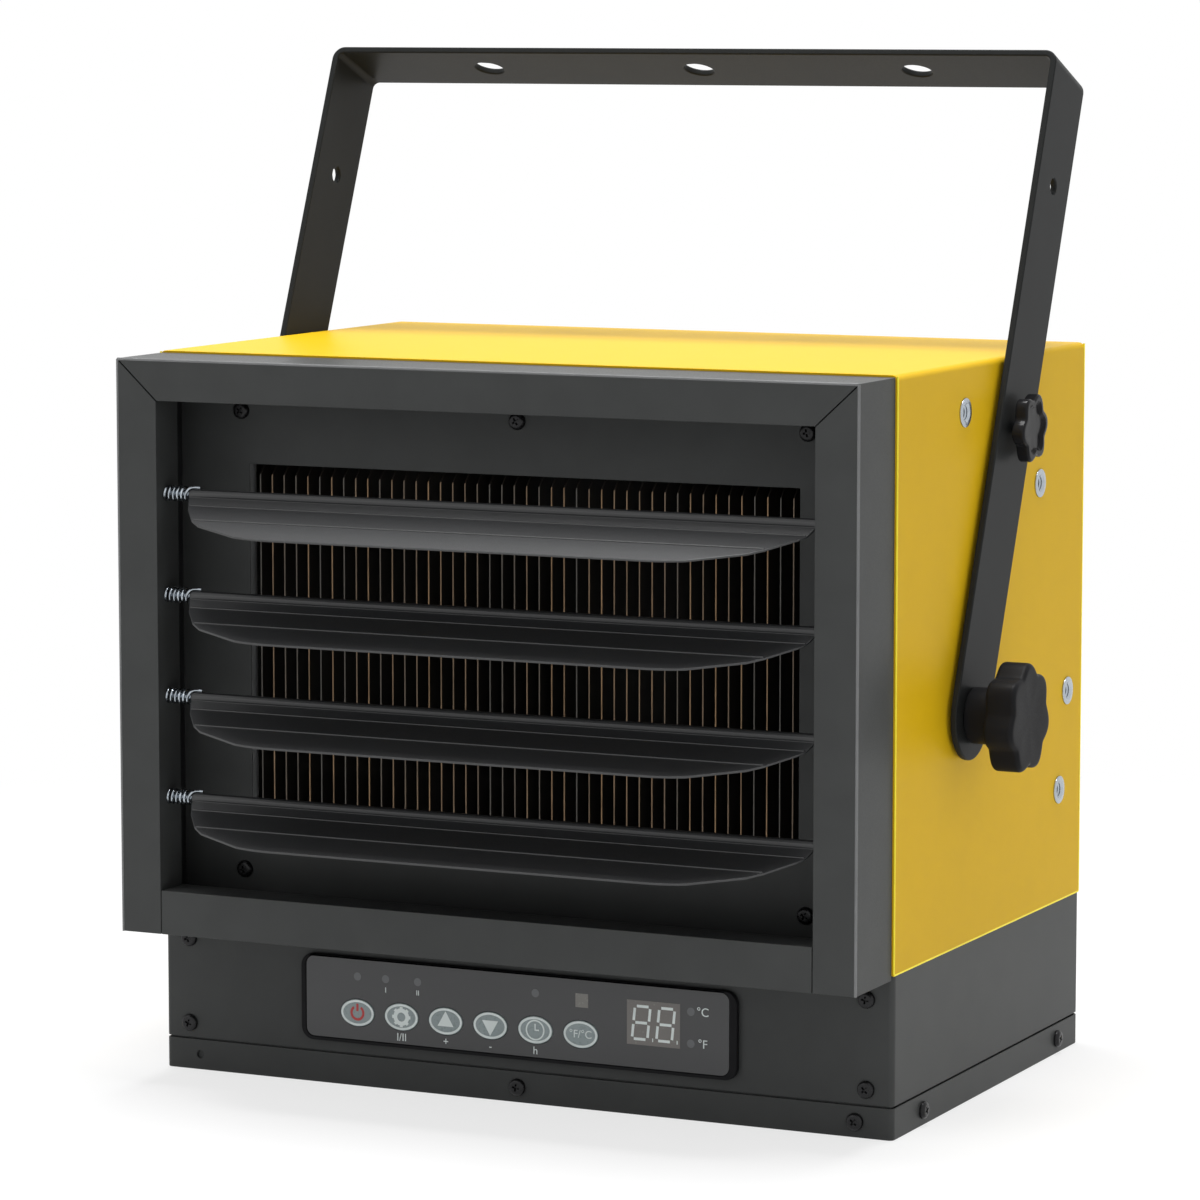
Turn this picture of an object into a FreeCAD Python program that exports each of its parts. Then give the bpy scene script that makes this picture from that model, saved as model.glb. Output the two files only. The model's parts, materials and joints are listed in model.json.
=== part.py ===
"""Garage heater: a louvred fan heater in a steel case, hung or stood on a tilting strap bracket."""
import FreeCAD
import Part
import math
import os
from FreeCAD import Vector

# All lengths are millimetres. X runs to the right, Y to the back, Z up.
# The origin is the centre of the base's underside.
ALONG_X = Vector(1, 0, 0)
ALONG_Y = Vector(0, 1, 0)
ALONG_Z = Vector(0, 0, 1)
cut_overrun = 1.0

# Small repeated rounds are drawn with flats, to keep the model light
small_sides = 10
large_sides = 28
lobe_sides = 10
lobe_fullness_share = 0.8

# Case
case_width = 360.0
case_depth = 230.0
case_height = 330.0
sheet = 1.2
case_bend_radius = 3.0
case_flange = 14.0
case_front_flange = 7.0
sheet_slip = 0.2

# Base and its tray
base_height = 72.0
base_corner_radius = 2.5
housing_flange = 12.0
tray_lip = 14.0
tray_seam = 0.8
tray_spare_hole_radius = 1.8
floor_slot_length = 60.0
floor_slot_width = 12.0

# Panel round the heating core
core_panel_sheet = 1.0
core_open_width = 269.4
core_open_rise = 46.0
core_open_drop = 50.0

# Bezel
bezel_inset = 1.0
bezel_depth = 40.0
bezel_stile = 20.0
bezel_top_face = 18.5
bezel_rail = 20.0
bezel_return = 19.0
bezel_base_lap = 2.0
bezel_joint = 0.3
mitre_gap = 0.5

# Louvres, their rods and springs
louvre_count = 4
louvre_lowest_rise = 42.0
louvre_highest_drop = 41.7
louvre_setback = 8.0
louvre_sheet = 1.0
louvre_tube_radius = 2.3
louvre_tube_wall = 0.7
louvre_end_gap = 1.0
crease_one_reach = 6.0
crease_one_drop = 4.6
crease_two_reach = 23.0
crease_two_drop = 9.0
lip_reach = 40.0
lip_drop = 14.0
louvre_corner_length = 63.0
louvre_corner_start = 0.5
rod_radius = 1.5
rod_clearance = 0.06
spring_wire = 0.9
spring_wire_sides = 4
spring_coil_radius = 3.1
spring_turns = 4
spring_bend_radius = 1.2
spring_end_gap = 0.4
spring_tail = 2.5
spring_room = 12.0

# Heating core
fin_count = 44
fin_thickness = 0.5
fin_depth = 40.0
fin_setback = 1.8
fin_edge_margin = 4.0
fin_chamfer = 12.0
fin_lap_below = 8.0
fin_lap_above = 7.0
element_radius = 4.0
element_clearance = 0.2
element_low_inset = 23.0
element_high_inset = 25.0
end_plate_flange = 10.0
end_plate_margin = 4.0
element_stick_out = 6.0
terminal_radius = 5.5
terminal_length = 9.0
cutout_radius = 8.0
cutout_length = 7.0
cutout_ear = 12.0
cutout_ear_sheet = 0.8

# Fan, motor and the rear of the case
fan_wall_margin = 16.8
fan_tip_gap = 6.0
fan_blade_count = 5
fan_blade_thickness = 1.6
fan_blade_chord = 58.0
fan_blade_root = 26.0
fan_blade_angle = 22.0
fan_hub_radius = 25.0
fan_hub_length = 26.0
fan_rear_gap = 5.0
fan_hub_cap = 1.0
shaft_radius = 3.0
shaft_clearance = 0.05
shaft_end_room = 0.5
motor_radius = 34.0
motor_length = 44.0
motor_nose_radius = 11.0
motor_nose_length = 4.0
motor_hub_gap = 2.0
strap_width = 40.0
strap_sheet = 2.0
strap_foot = 20.0
guard_side_margin = 11.0
guard_edge_gap = 1.2
guard_slot_count = 13
guard_slot_height = 8.0
guard_bar_width = 3.0

# Control panel
panel_half_width = 107.8
panel_height = 39.6
panel_low_share = 1.0 / 3.0
panel_corner_radius = 6.0
panel_proud = 3.0
panel_rim = 5.2
panel_rim_height = 2.6
panel_window_margin = 5.6
panel_collar = 1.5
panel_collar_clearance = 0.3
film_recess = 1.2
film_sheet = 0.8
film_clearance = 0.2
film_corner_radius = 4.0
key_half_width = 8.5
key_half_height = 6.2
key_clearance = 0.3
key_proud = 0.3
key_stem = 1.0
key_travel = 0.5
key_rest_gap = 0.1
key_row_rise = 14.2
key_first_x = -79.0
key_pitch = 22.3
switch_side = 6.0
switch_height = 4.3
board_thickness = 1.6
display_left = 55.0
display_right = 80.6
display_rise = 12.1
display_height = 19.8
display_film_gap = 0.1
led_side = 3.0
led_upper_rise = 30.8
led_low_x = -64.7
led_high_x = -48.5
led_side_column = 85.8
led_unit_high_rise = 29.0
led_unit_low_rise = 14.8
receiver_side = 6.2
receiver_x = 33.0
receiver_rise = 29.4

# Parts inside the base
relay_board_length = 120.0
relay_board_width = 70.0
relay_board_rear_margin = 25.0
standoff_height = 6.0
standoff_radius = 3.0
standoff_inset = 8.0
relay_length = 30.0
relay_width = 28.0
relay_height = 24.0
relay_spacing = 40.0
terminal_block_length = 64.0
terminal_block_width = 24.0
terminal_block_height = 22.0
terminal_block_slots = 4
terminal_slot_width = 9.0
terminal_slot_depth = 8.0
terminal_block_x = 110.0
terminal_block_rear_margin = 31.0
gland_x = 130.0
gland_z = 42.0
gland_nut_radius = 12.0
gland_nut_length = 6.0
gland_body_radius = 9.0
gland_body_clearance = 0.1
gland_nose = 14.0
gland_bore_radius = 5.0

# Tilting bracket
pivot_drop = 25.6
bracket_tilt = 22.5
bracket_reach = 305.5
bracket_width = 40.0
bracket_sheet = 3.0
bracket_gap = 2.0
bracket_bend_radius = 6.0
bracket_hole_radius = 7.0
bracket_hole_spacing = 110.0
leg_hole_radius = 3.5
leg_hole_along = 247.3
lock_top_margin = 21.6
lock_rear_margin = 19.0
rivet_nut_angles = (0.0, 22.5, 45.0, 92.5, 112.5)

# Rivet nuts, washers, knobs and their studs
rivet_flange_radius = 6.5
rivet_flange = 0.8
rivet_barrel_radius = 4.5
rivet_barrel_length = 9.0
rivet_fit = 0.05
pivot_nut_flange_radius = 8.0
pivot_nut_barrel_radius = 6.0
pivot_nut_length = 14.0
pivot_washer_radius = 14.0
pivot_washer_slack = 0.2
stud_clearance = 0.1
knob_bore_clearance = 0.05
pivot_stud_radius = 4.0
pivot_stud_in_nut = 11.0
pivot_stud_in_knob = 12.0
pivot_hub_radius = 12.5
pivot_hub_length = 13.0
pivot_head_radius = 24.5
pivot_head_length = 14.0
pivot_lobes = 7
pivot_lobe_depth = 4.4
pivot_dish_radius = 16.0
pivot_dish_depth = 1.0
pivot_knob_slack = 0.2
lock_stud_radius = 3.0
lock_travel = 3.0
lock_knob_slack = 0.2
lock_stud_tip = 0.5
lock_stud_in_knob = 3.5
lock_head_radius = 15.75
lock_head_length = 6.0
lock_lobes = 6
lock_lobe_depth = 3.2
lock_dish_radius = 10.5
lock_dish_depth = 1.5

# Screw heads
screw_head_radius = 3.8
screw_head_height = 2.2
panel_screw_x = 138.5
panel_screw_drop = 26.0
panel_screw_rise = 23.0
housing_screw_x = 167.5
housing_screw_low = 21.6
housing_screw_high = 61.0
tray_screw_x = 162.4
tray_screw_front = 34.3
tray_screw_rear_margin = 27.7
rear_screw_margin = 7.0
guard_screw_margin = 7.0

# Places that follow from the sizes above
half_width = case_width / 2
front = -case_depth / 2
rear = case_depth / 2
inner_half_width = half_width - sheet - sheet_slip
housing_bottom = tray_lip + tray_seam
floor_top = base_height + sheet
core_open_bottom = base_height + core_open_rise
core_open_top = case_height - core_open_drop
core_panel_front = front + sheet
core_panel_back = core_panel_front + core_panel_sheet
bezel_front = front - bezel_depth
bezel_half_width = half_width - bezel_inset
bezel_top = case_height - bezel_inset
bezel_bottom = base_height - bezel_base_lap
panel_bottom = housing_bottom + panel_low_share * (bezel_bottom - housing_bottom - panel_height)
panel_top = panel_bottom + panel_height
key_row_height = panel_bottom + key_row_rise
display_bottom = panel_bottom + display_rise
display_top = display_bottom + display_height
led_upper_row = panel_bottom + led_upper_rise
led_unit_high = panel_bottom + led_unit_high_rise
led_unit_low = panel_bottom + led_unit_low_rise
receiver_z = panel_bottom + receiver_rise
mouth_half_width = bezel_half_width - bezel_stile
mouth_top = bezel_top - bezel_top_face
mouth_bottom = bezel_bottom + bezel_rail
louvre_y = bezel_front + louvre_setback
louvre_lowest = mouth_bottom + louvre_lowest_rise
louvre_pitch = (mouth_top - louvre_highest_drop - louvre_lowest) / (louvre_count - 1)
louvre_heights = [louvre_lowest + louvre_pitch * i for i in range(louvre_count)]
louvre_left = -mouth_half_width + spring_room
louvre_right = mouth_half_width - louvre_end_gap
fin_front = core_panel_back + fin_setback
fin_back = fin_front + fin_depth
fin_bottom = core_open_bottom - fin_lap_below
fin_top = core_open_top + fin_lap_above
element_y = fin_front + fin_depth / 2
element_low = core_open_bottom + element_low_inset
element_high = core_open_top - element_high_inset
end_plate_inner = core_open_width / 2 + end_plate_margin
rear_panel_back = rear - sheet
rear_panel_front = rear_panel_back - sheet
fan_height = (floor_top + case_height - sheet) / 2
fan_radius = case_height - sheet - fan_height - fan_wall_margin - fan_tip_gap
guard_half_width = fan_radius + fan_tip_gap + guard_side_margin
guard_half_height = case_height - case_flange - guard_edge_gap - fan_height
fan_hub_back = rear_panel_front - fan_rear_gap
fan_hub_front = fan_hub_back - fan_hub_length
motor_back = fan_hub_front - motor_hub_gap - motor_nose_length
motor_front = motor_back - motor_length
film_back = front - panel_proud + film_recess
film_front = film_back - film_sheet
key_back = film_back + key_stem
board_front = key_back + key_travel + key_rest_gap + switch_height
relay_board_front = rear - relay_board_rear_margin - relay_board_width
terminal_block_front = rear - terminal_block_rear_margin - terminal_block_width
pivot_height = (base_height + case_height) / 2 - pivot_drop
lock_along = case_height - pivot_height - lock_top_margin
pivot_y = rear - lock_along - lock_rear_margin
leg_inner = half_width + bracket_gap
leg_outer = leg_inner + bracket_sheet
lock_y = pivot_y + lock_along * math.sin(math.radians(bracket_tilt))
lock_z = pivot_height + lock_along * math.cos(math.radians(bracket_tilt))
panel_screw_top = case_height - panel_screw_drop
panel_screw_bottom = base_height + panel_screw_rise
tray_screw_back = case_depth - tray_screw_rear_margin
key_names = ("power", "mode", "up", "down", "timer", "unit")
key_places = [key_first_x + key_pitch * i for i in range(len(key_names))]


def box(x_low, x_high, y_low, y_high, z_low, z_high):
    """A block between two values on each axis."""
    size = Vector(x_high - x_low, y_high - y_low, z_high - z_low)
    return Part.makeBox(size.x, size.y, size.z, Vector(x_low, y_low, z_low))


def bar(x_half, y_low, y_high, z_low, z_high):
    """A block centred on the middle of the width."""
    return box(-x_half, x_half, y_low, y_high, z_low, z_high)


def round_along(shape, axis, radius, highest_only=False):
    """Rounds the straight edges that run along an axis, or only the highest of them."""
    chosen = []
    for edge in shape.Edges:
        run = edge.Vertexes[-1].Point.sub(edge.Vertexes[0].Point)
        if run.Length > 0 and run.cross(axis).Length < 1e-6 * run.Length:
            if not highest_only or abs(edge.Vertexes[0].Z - shape.BoundBox.ZMax) < 1e-6:
                chosen.append(edge)
    return shape.makeFillet(radius, chosen)


def prism(points, sweep):
    """A flat outline carried along a vector."""
    outline = Part.makePolygon(points + [points[0]])
    return Part.Face(outline).extrude(sweep)


def round_bar(start, direction, radius, length):
    """A round bar or hole from a point along a direction."""
    return Part.makeCylinder(radius, length, start, direction)


def flat_sided(start, direction, radius, sides, hole=False):
    """Corners of a flat-sided round: a piece has its corners on the circle, a hole has its flats there."""
    first = ALONG_Z if abs(direction.z) < 0.5 else ALONG_X
    second = direction.cross(first)
    step = 2 * math.pi / sides
    reach = radius / math.cos(step / 2) if hole else radius
    return [start + (first * math.cos(step * i) + second * math.sin(step * i)) * reach for i in range(sides)]


def small_bar(start, direction, radius, length):
    return prism(flat_sided(start, direction, radius, small_sides), direction * length)


def small_hole(start, direction, radius, length):
    return prism(flat_sided(start, direction, radius, small_sides, True), direction * length)


def large_bar(start, direction, radius, length):
    return prism(flat_sided(start, direction, radius, large_sides), direction * length)


def oval(x_middle, z_middle, half_wide, half_high, y_low, y_high):
    """An upright oval slab between two depths, drawn with twice the flats of a small round."""
    corners = []
    for i in range(2 * small_sides):
        angle = math.pi * i / small_sides
        corners.append(Vector(x_middle + half_wide * math.cos(angle), y_low,
                              z_middle + half_high * math.sin(angle)))
    return prism(corners, ALONG_Y * (y_high - y_low))


def mirrored(shape):
    """The same piece on the other side of the heater."""
    return shape.mirror(Vector(0, 0, 0), ALONG_X)


def both_sides(shape):
    return [shape, mirrored(shape)]


def group(solids):
    """Separate solids that share one node."""
    return Part.makeCompound(solids)


def save(name, shape):
    solids = shape.Solids
    if not solids or not all(solid.isValid() for solid in solids):
        raise ValueError(name + " is not made of valid solids")
    shape.exportStep(os.path.join("parts", name + ".step"))
    return len(solids)


def around_pivot(degrees, along):
    """Depth and height of a point that lies back from upright about the bracket's pivot."""
    angle = math.radians(degrees)
    return pivot_y + along * math.sin(angle), pivot_height + along * math.cos(angle)


def case_wrap():
    """Top and sides in one folded sheet, with edges turned in at the front and back."""
    outer = bar(half_width, front, rear, base_height, case_height)
    outer = round_along(outer, ALONG_Y, case_bend_radius, highest_only=True)
    inner = bar(half_width - sheet, front + sheet, rear - sheet, base_height - cut_overrun,
                case_height - sheet)
    inner = round_along(inner, ALONG_Y, case_bend_radius - sheet, highest_only=True)
    front_mouth = bar(half_width - case_front_flange, front - cut_overrun, front + sheet + cut_overrun,
                      base_height - cut_overrun, case_height - case_front_flange)
    rear_mouth = bar(half_width - case_flange, rear - sheet - cut_overrun, rear + cut_overrun,
                     base_height - cut_overrun, case_height - case_flange)
    wrap = outer.cut([inner, front_mouth, rear_mouth])
    holes = []
    for degrees in rivet_nut_angles:
        y, z = around_pivot(degrees, lock_along)
        start = Vector(-half_width - cut_overrun, y, z)
        holes.append(small_hole(start, ALONG_X, rivet_barrel_radius + rivet_fit,
                                case_width + 2 * cut_overrun))
    start = Vector(-half_width - cut_overrun, pivot_y, pivot_height)
    holes.append(small_hole(start, ALONG_X, pivot_nut_barrel_radius + rivet_fit,
                            case_width + 2 * cut_overrun))
    return wrap.cut(holes)


def base_housing():
    """Control box under the case: four walls, a turned-in top and a skirt that nests in the tray."""
    outer = bar(half_width, front, rear, housing_bottom, base_height)
    outer = round_along(outer, ALONG_Z, base_corner_radius)
    hollow = bar(half_width - sheet, front + sheet, rear - sheet, housing_bottom + sheet,
                 base_height - sheet)
    top_inset = sheet + housing_flange
    top_mouth = bar(half_width - top_inset, front + top_inset, rear - top_inset,
                    base_height - sheet - cut_overrun, base_height + cut_overrun)
    skirt_out = sheet + sheet_slip
    skirt_in = skirt_out + sheet
    skirt = bar(half_width - skirt_out, front + skirt_out, rear - skirt_out, sheet, housing_bottom + sheet)
    skirt_hole = bar(half_width - skirt_in, front + skirt_in, rear - skirt_in, 0,
                     housing_bottom + 2 * sheet)
    housing = outer.cut([hollow, top_mouth]).fuse(skirt).cut(skirt_hole).removeSplitter()
    window = bar(collar_half_width() + panel_collar_clearance, front - cut_overrun,
                 front + sheet + cut_overrun,
                 collar_bottom() - panel_collar_clearance, collar_top() + panel_collar_clearance)
    gland_hole = small_hole(Vector(gland_x, rear - sheet - cut_overrun, gland_z), ALONG_Y,
                            gland_body_radius + gland_body_clearance, sheet + 2 * cut_overrun)
    return housing.cut([window, gland_hole])


def base_tray():
    """Bottom tray with an upturned lip and one spare screw hole."""
    outer = bar(half_width, front, rear, 0, tray_lip)
    outer = round_along(outer, ALONG_Z, base_corner_radius)
    hollow = bar(half_width - sheet, front + sheet, rear - sheet, sheet, tray_lip + cut_overrun)
    spare = small_hole(Vector(-tray_screw_x, front - cut_overrun, tray_lip / 2), ALONG_Y,
                       tray_spare_hole_radius, sheet + 2 * cut_overrun)
    return outer.cut([hollow, spare])


def case_floor():
    """Plate between the air chamber and the control box, with a slot for the wires."""
    plate = bar(inner_half_width, core_panel_back + sheet_slip, rear_panel_front - sheet_slip,
                base_height, floor_top)
    slot = bar(floor_slot_length / 2, motor_front - floor_slot_width, motor_front,
               base_height - cut_overrun,
               floor_top + cut_overrun)
    slot.translate(Vector(terminal_block_x, 0, 0))
    return plate.cut(slot)


def core_panel():
    """Flat panel behind the louvres with the core's opening."""
    plate = bar(inner_half_width, core_panel_front, core_panel_back, base_height,
                case_height - sheet - sheet_slip)
    return plate.cut(bar(core_open_width / 2, core_panel_front - cut_overrun, core_panel_back + cut_overrun,
                         core_open_bottom, core_open_top))


def bezel_hood():
    """Top and both stiles of the bezel in one folded sheet, mitred at the corners of its face."""
    outer = bar(bezel_half_width, bezel_front, front, bezel_bottom, bezel_top)
    hollow = bar(bezel_half_width - sheet, bezel_front + sheet, front + cut_overrun,
                 bezel_bottom - cut_overrun, bezel_top - sheet)
    lip = bar(mouth_half_width + sheet, bezel_front, bezel_front + bezel_return, bezel_bottom,
              mouth_top + sheet)
    mouth = bar(mouth_half_width, bezel_front - cut_overrun, bezel_front + bezel_return + cut_overrun,
                bezel_bottom - cut_overrun, mouth_top)
    hood = outer.cut(hollow).fuse(lip).cut(mouth).removeSplitter()
    run = Vector(bezel_half_width - sheet - mouth_half_width, 0, bezel_top - sheet - mouth_top)
    side = run.cross(ALONG_Y).normalize() * (mitre_gap / 2)
    inner = Vector(mouth_half_width, bezel_front - cut_overrun, mouth_top) - run.normalize() * cut_overrun
    outer_end = Vector(bezel_half_width - sheet, bezel_front - cut_overrun, bezel_top - sheet)
    mitre = prism([inner + side, outer_end + side, outer_end - side, inner - side],
                  ALONG_Y * (bezel_return + 2 * cut_overrun))
    holes = []
    for z in louvre_heights:
        start = Vector(-bezel_half_width + sheet, louvre_y, z)
        holes.append(small_hole(start, ALONG_X, rod_radius + rod_clearance, 2 * (bezel_half_width - sheet)))
    return hood.cut(both_sides(mitre) + holes)


def bezel_bottom_rail():
    """Lower bar of the bezel, a channel between the two stiles."""
    half = mouth_half_width - bezel_joint
    outer = bar(half, bezel_front, front, bezel_bottom, mouth_bottom)
    hollow = bar(half + cut_overrun, bezel_front + sheet, front + cut_overrun, bezel_bottom + sheet,
                 mouth_bottom - sheet)
    open_back = bar(half + cut_overrun, bezel_front + bezel_return, front + cut_overrun,
                    mouth_bottom - 2 * sheet, mouth_bottom + cut_overrun)
    return outer.cut([hollow, open_back])


def louvre(z):
    """Folded louvre with a rolled top edge and long rounded corners."""
    axis = Vector(louvre_left, louvre_y, z)
    length = louvre_right - louvre_left
    folds = [(0, 0), (crease_one_reach, crease_one_drop), (crease_two_reach, crease_two_drop),
             (lip_reach, lip_drop)]
    upper = [Vector(louvre_left, louvre_y - reach, z - drop) for reach, drop in folds]
    lower = [point - ALONG_Z * louvre_sheet for point in upper]
    blade = prism(upper + lower[::-1], ALONG_X * length)
    tube = small_bar(axis, ALONG_X, louvre_tube_radius, length)
    bore = small_hole(axis - ALONG_X * cut_overrun, ALONG_X, louvre_tube_radius - louvre_tube_wall,
                      length + 2 * cut_overrun)
    return blade.common(louvre_plan(z)).fuse(tube).cut(bore).removeSplitter()


def louvre_plan(z):
    """Block with the louvre's outline from above: square at the rod, drawn in along an oval at the lip."""
    corner_depth = lip_reach - louvre_corner_start
    level = z - lip_drop - louvre_sheet - cut_overrun
    start_y = louvre_y - louvre_corner_start
    lip_y = louvre_y - lip_reach
    back_y = louvre_y + louvre_tube_radius
    left_in = louvre_left + louvre_corner_length
    right_in = louvre_right - louvre_corner_length
    diagonal_share = math.sqrt(2) / 2
    left_mid = Vector(left_in - louvre_corner_length * diagonal_share,
                      start_y - corner_depth * diagonal_share, level)
    right_mid = Vector(right_in + louvre_corner_length * diagonal_share, left_mid.y, level)
    corners = [Vector(louvre_left, start_y, level), Vector(left_in, lip_y, level),
               Vector(right_in, lip_y, level), Vector(louvre_right, start_y, level)]
    left_oval = oval_arc(Vector(left_in, start_y, level), corners[0], left_mid, corners[1])
    right_oval = oval_arc(Vector(right_in, start_y, level), corners[2], right_mid, corners[3])
    back = [Vector(louvre_right, back_y, level), Vector(louvre_left, back_y, level)]
    edges = [left_oval, Part.makeLine(corners[1], corners[2]), right_oval,
             Part.makeLine(corners[3], back[0]), Part.makeLine(back[0], back[1]),
             Part.makeLine(back[1], corners[0])]
    face = Part.Face(Part.Wire(edges))
    return face.extrude(ALONG_Z * (lip_drop + louvre_sheet + louvre_tube_radius + 2 * cut_overrun))


def oval_arc(middle, first, via, last):
    """Quarter of an oval about a middle point, from one end through a point to the other end."""
    ellipse = Part.Ellipse(middle, louvre_corner_length, lip_reach - louvre_corner_start)
    low, high = ellipse.parameter(first), ellipse.parameter(last)
    if high < low:
        high += 2 * math.pi
    arc = Part.ArcOfEllipse(ellipse, low, high)
    if arc.value((low + high) / 2).distanceToPoint(via) > louvre_sheet:
        arc = Part.ArcOfEllipse(ellipse, high, low + 2 * math.pi)
    return arc.toShape()


def louvre_rod(z):
    """Rod that runs through the rolled edge and turns in both stiles."""
    half = mouth_half_width + sheet
    return small_bar(Vector(-half, louvre_y, z), ALONG_X, rod_radius, 2 * half)


def tangent_arc(start, control, end):
    """Arc that leaves the start and reaches the end along the lines to a control point."""
    weight = start.distanceToPoint(end) / (2 * start.distanceToPoint(control))
    middle = (start + control * (2 * weight) + end) * (1 / (2 + 2 * weight))
    return Part.Arc(start, middle, end).toShape()


def biarc(start, leave, end, arrive):
    """Two arcs that join smoothly from one point and direction to another."""
    chord = end - start
    both = leave + arrive
    bend = 2 * (1 - leave.dot(arrive))
    reach = (math.sqrt(chord.dot(both) ** 2 + bend * chord.dot(chord)) - chord.dot(both)) / bend
    first_control = start + leave * reach
    second_control = end - arrive * reach
    joint = (first_control + second_control) * 0.5
    return [tangent_arc(start, first_control, joint), tangent_arc(joint, second_control, end)]


def spring_path(z):
    """Line of the wire: square off the stile, round the rod, then out over the louvre's rolled edge."""
    wall_x = -mouth_half_width
    end_x = louvre_left - spring_end_gap - spring_wire / 2
    bend_run = spring_bend_radius
    start_x = wall_x + spring_wire + bend_run
    pitch = (end_x - start_x) / spring_turns
    slope = Vector(pitch / (2 * math.pi), 0, 0)

    def place(turns):
        angle = 2 * math.pi * turns
        out = Vector(0, math.sin(angle), math.cos(angle))
        return Vector(start_x + pitch * turns, louvre_y, z) + out * spring_coil_radius

    def heading(turns):
        angle = 2 * math.pi * turns
        return (slope + Vector(0, math.cos(angle), -math.sin(angle)) * spring_coil_radius).normalize()

    half_turns = range(2 * spring_turns)
    edges = []
    first_bend = ALONG_X + heading(0)
    bend_tangent = spring_bend_radius * math.tan(math.acos(heading(0).dot(ALONG_X)) / 2)
    bend_start = place(0) - first_bend * bend_tangent
    wall_point = Vector(wall_x, bend_start.y, bend_start.z)
    edges.append(Part.makeLine(wall_point, bend_start))
    edges.append(tangent_arc(bend_start, bend_start + ALONG_X * bend_tangent, place(0)))
    for half in half_turns:
        edges += biarc(place(half / 2), heading(half / 2), place((half + 1) / 2), heading((half + 1) / 2))
    bend_end = place(spring_turns) + first_bend * bend_tangent
    edges.append(tangent_arc(place(spring_turns), bend_end - ALONG_X * bend_tangent, bend_end))
    edges.append(Part.makeLine(bend_end, bend_end + ALONG_X * spring_tail))
    return Part.Wire(edges), wall_point


def louvre_spring(z):
    """Friction spring wound from one unbroken wire."""
    path, start = spring_path(z)
    rim = []
    for corner in range(spring_wire_sides):
        angle = 2 * math.pi * corner / spring_wire_sides
        rim.append(start + Vector(0, math.cos(angle), math.sin(angle)) * (spring_wire / 2))
    pipe = Part.BRepOffsetAPI.MakePipeShell(path)
    pipe.add(Part.makePolygon(rim + [rim[0]]))
    pipe.build()
    pipe.makeSolid()
    return pipe.shape()


def spring_self_gap(z):
    """Least open gap between turns, measured on points along the wire's line."""
    path, _ = spring_path(z)
    points = path.discretize(Number=60 * spring_turns)
    step = path.Length / (len(points) - 1)
    skip = int(math.pi * spring_coil_radius / step)
    least = min(points[i].distanceToPoint(points[j])
                for i in range(len(points)) for j in range(i + skip, len(points)))
    return least - spring_wire


def heater_fins():
    """Upright fins, slotted from the back to sit on the heating elements."""
    slot_half = element_radius + element_clearance
    slot_front = element_y - element_radius - element_clearance
    outline = [(fin_front, fin_bottom), (fin_front, fin_top - fin_chamfer), (fin_front + fin_chamfer,
                                                                             fin_top),
               (fin_back, fin_top)]
    for height in (element_high, element_low):
        outline += [(fin_back, height + slot_half), (slot_front, height + slot_half),
                    (slot_front, height - slot_half), (fin_back, height - slot_half)]
    outline.append((fin_back, fin_bottom))
    first = -core_open_width / 2 + fin_edge_margin
    pitch = -2 * first / (fin_count - 1)
    fins = []
    for i in range(fin_count):
        x = first + pitch * i - fin_thickness / 2
        fins.append(prism([Vector(x, y, z) for y, z in outline], ALONG_X * fin_thickness))
    return group(fins)


def heater_elements():
    """Straight tubular elements, one above the other."""
    half = end_plate_inner + sheet + element_stick_out
    return group([small_bar(Vector(-half, element_y, z), ALONG_X, element_radius, 2 * half)
                  for z in (element_low, element_high)])


def element_terminals():
    """Ceramic ends of the elements."""
    start = end_plate_inner + sheet + element_stick_out
    ends = []
    for z in (element_low, element_high):
        ends += both_sides(small_bar(Vector(start, element_y, z), ALONG_X, terminal_radius,
                                     terminal_length))
    return group(ends)


def element_end_plates():
    """Side plates of the core, flanged to the panel."""
    plate = box(end_plate_inner, end_plate_inner + sheet, core_panel_back, fin_back + end_plate_margin,
                fin_bottom - end_plate_margin, fin_top + end_plate_margin)
    flange = box(end_plate_inner, end_plate_inner + end_plate_flange, core_panel_back,
                 core_panel_back + sheet,
                 fin_bottom - end_plate_margin, fin_top + end_plate_margin)
    holes = [small_hole(Vector(end_plate_inner - cut_overrun, element_y, z), ALONG_X,
                        element_radius + element_clearance, sheet + 2 * cut_overrun)
             for z in (element_low, element_high)]
    return group(both_sides(plate.fuse(flange).removeSplitter().cut(holes)))


def thermal_cutout():
    """Round thermostat with two ears on the core's right side plate."""
    face = end_plate_inner + sheet
    middle = (element_low + element_high) / 2
    ears = box(face, face + cutout_ear_sheet, element_y - cutout_radius / 2, element_y + cutout_radius / 2,
               middle - cutout_ear, middle + cutout_ear)
    body = small_bar(Vector(face, element_y, middle), ALONG_X, cutout_radius, cutout_length)
    return body.fuse(ears)


def rear_panel():
    """Back of the air chamber with the fan's opening."""
    plate = bar(inner_half_width, rear_panel_front, rear_panel_back, base_height,
                case_height - sheet - sheet_slip)
    return plate.cut(round_bar(Vector(0, rear_panel_front - cut_overrun, fan_height), ALONG_Y,
                               fan_radius + fan_tip_gap, sheet + 2 * cut_overrun))


def rear_guard():
    """Plate of slots over the fan's opening. Each slot is as long as the opening is wide there."""
    plate = bar(guard_half_width, rear_panel_back, rear, fan_height - guard_half_height,
                fan_height + guard_half_height)
    reach = fan_radius + fan_tip_gap
    pitch = 2 * reach / guard_slot_count
    slots = []
    for i in range(guard_slot_count):
        height = (i + 0.5) * pitch - reach
        half = math.sqrt(reach ** 2 - height ** 2)
        for side in (-1, 1):
            low, high = sorted((side * guard_bar_width, side * half))
            slots.append(box(low, high, rear_panel_back - cut_overrun, rear + cut_overrun,
                             fan_height + height - guard_slot_height / 2,
                             fan_height + height + guard_slot_height / 2))
    return plate.cut(slots)


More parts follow.
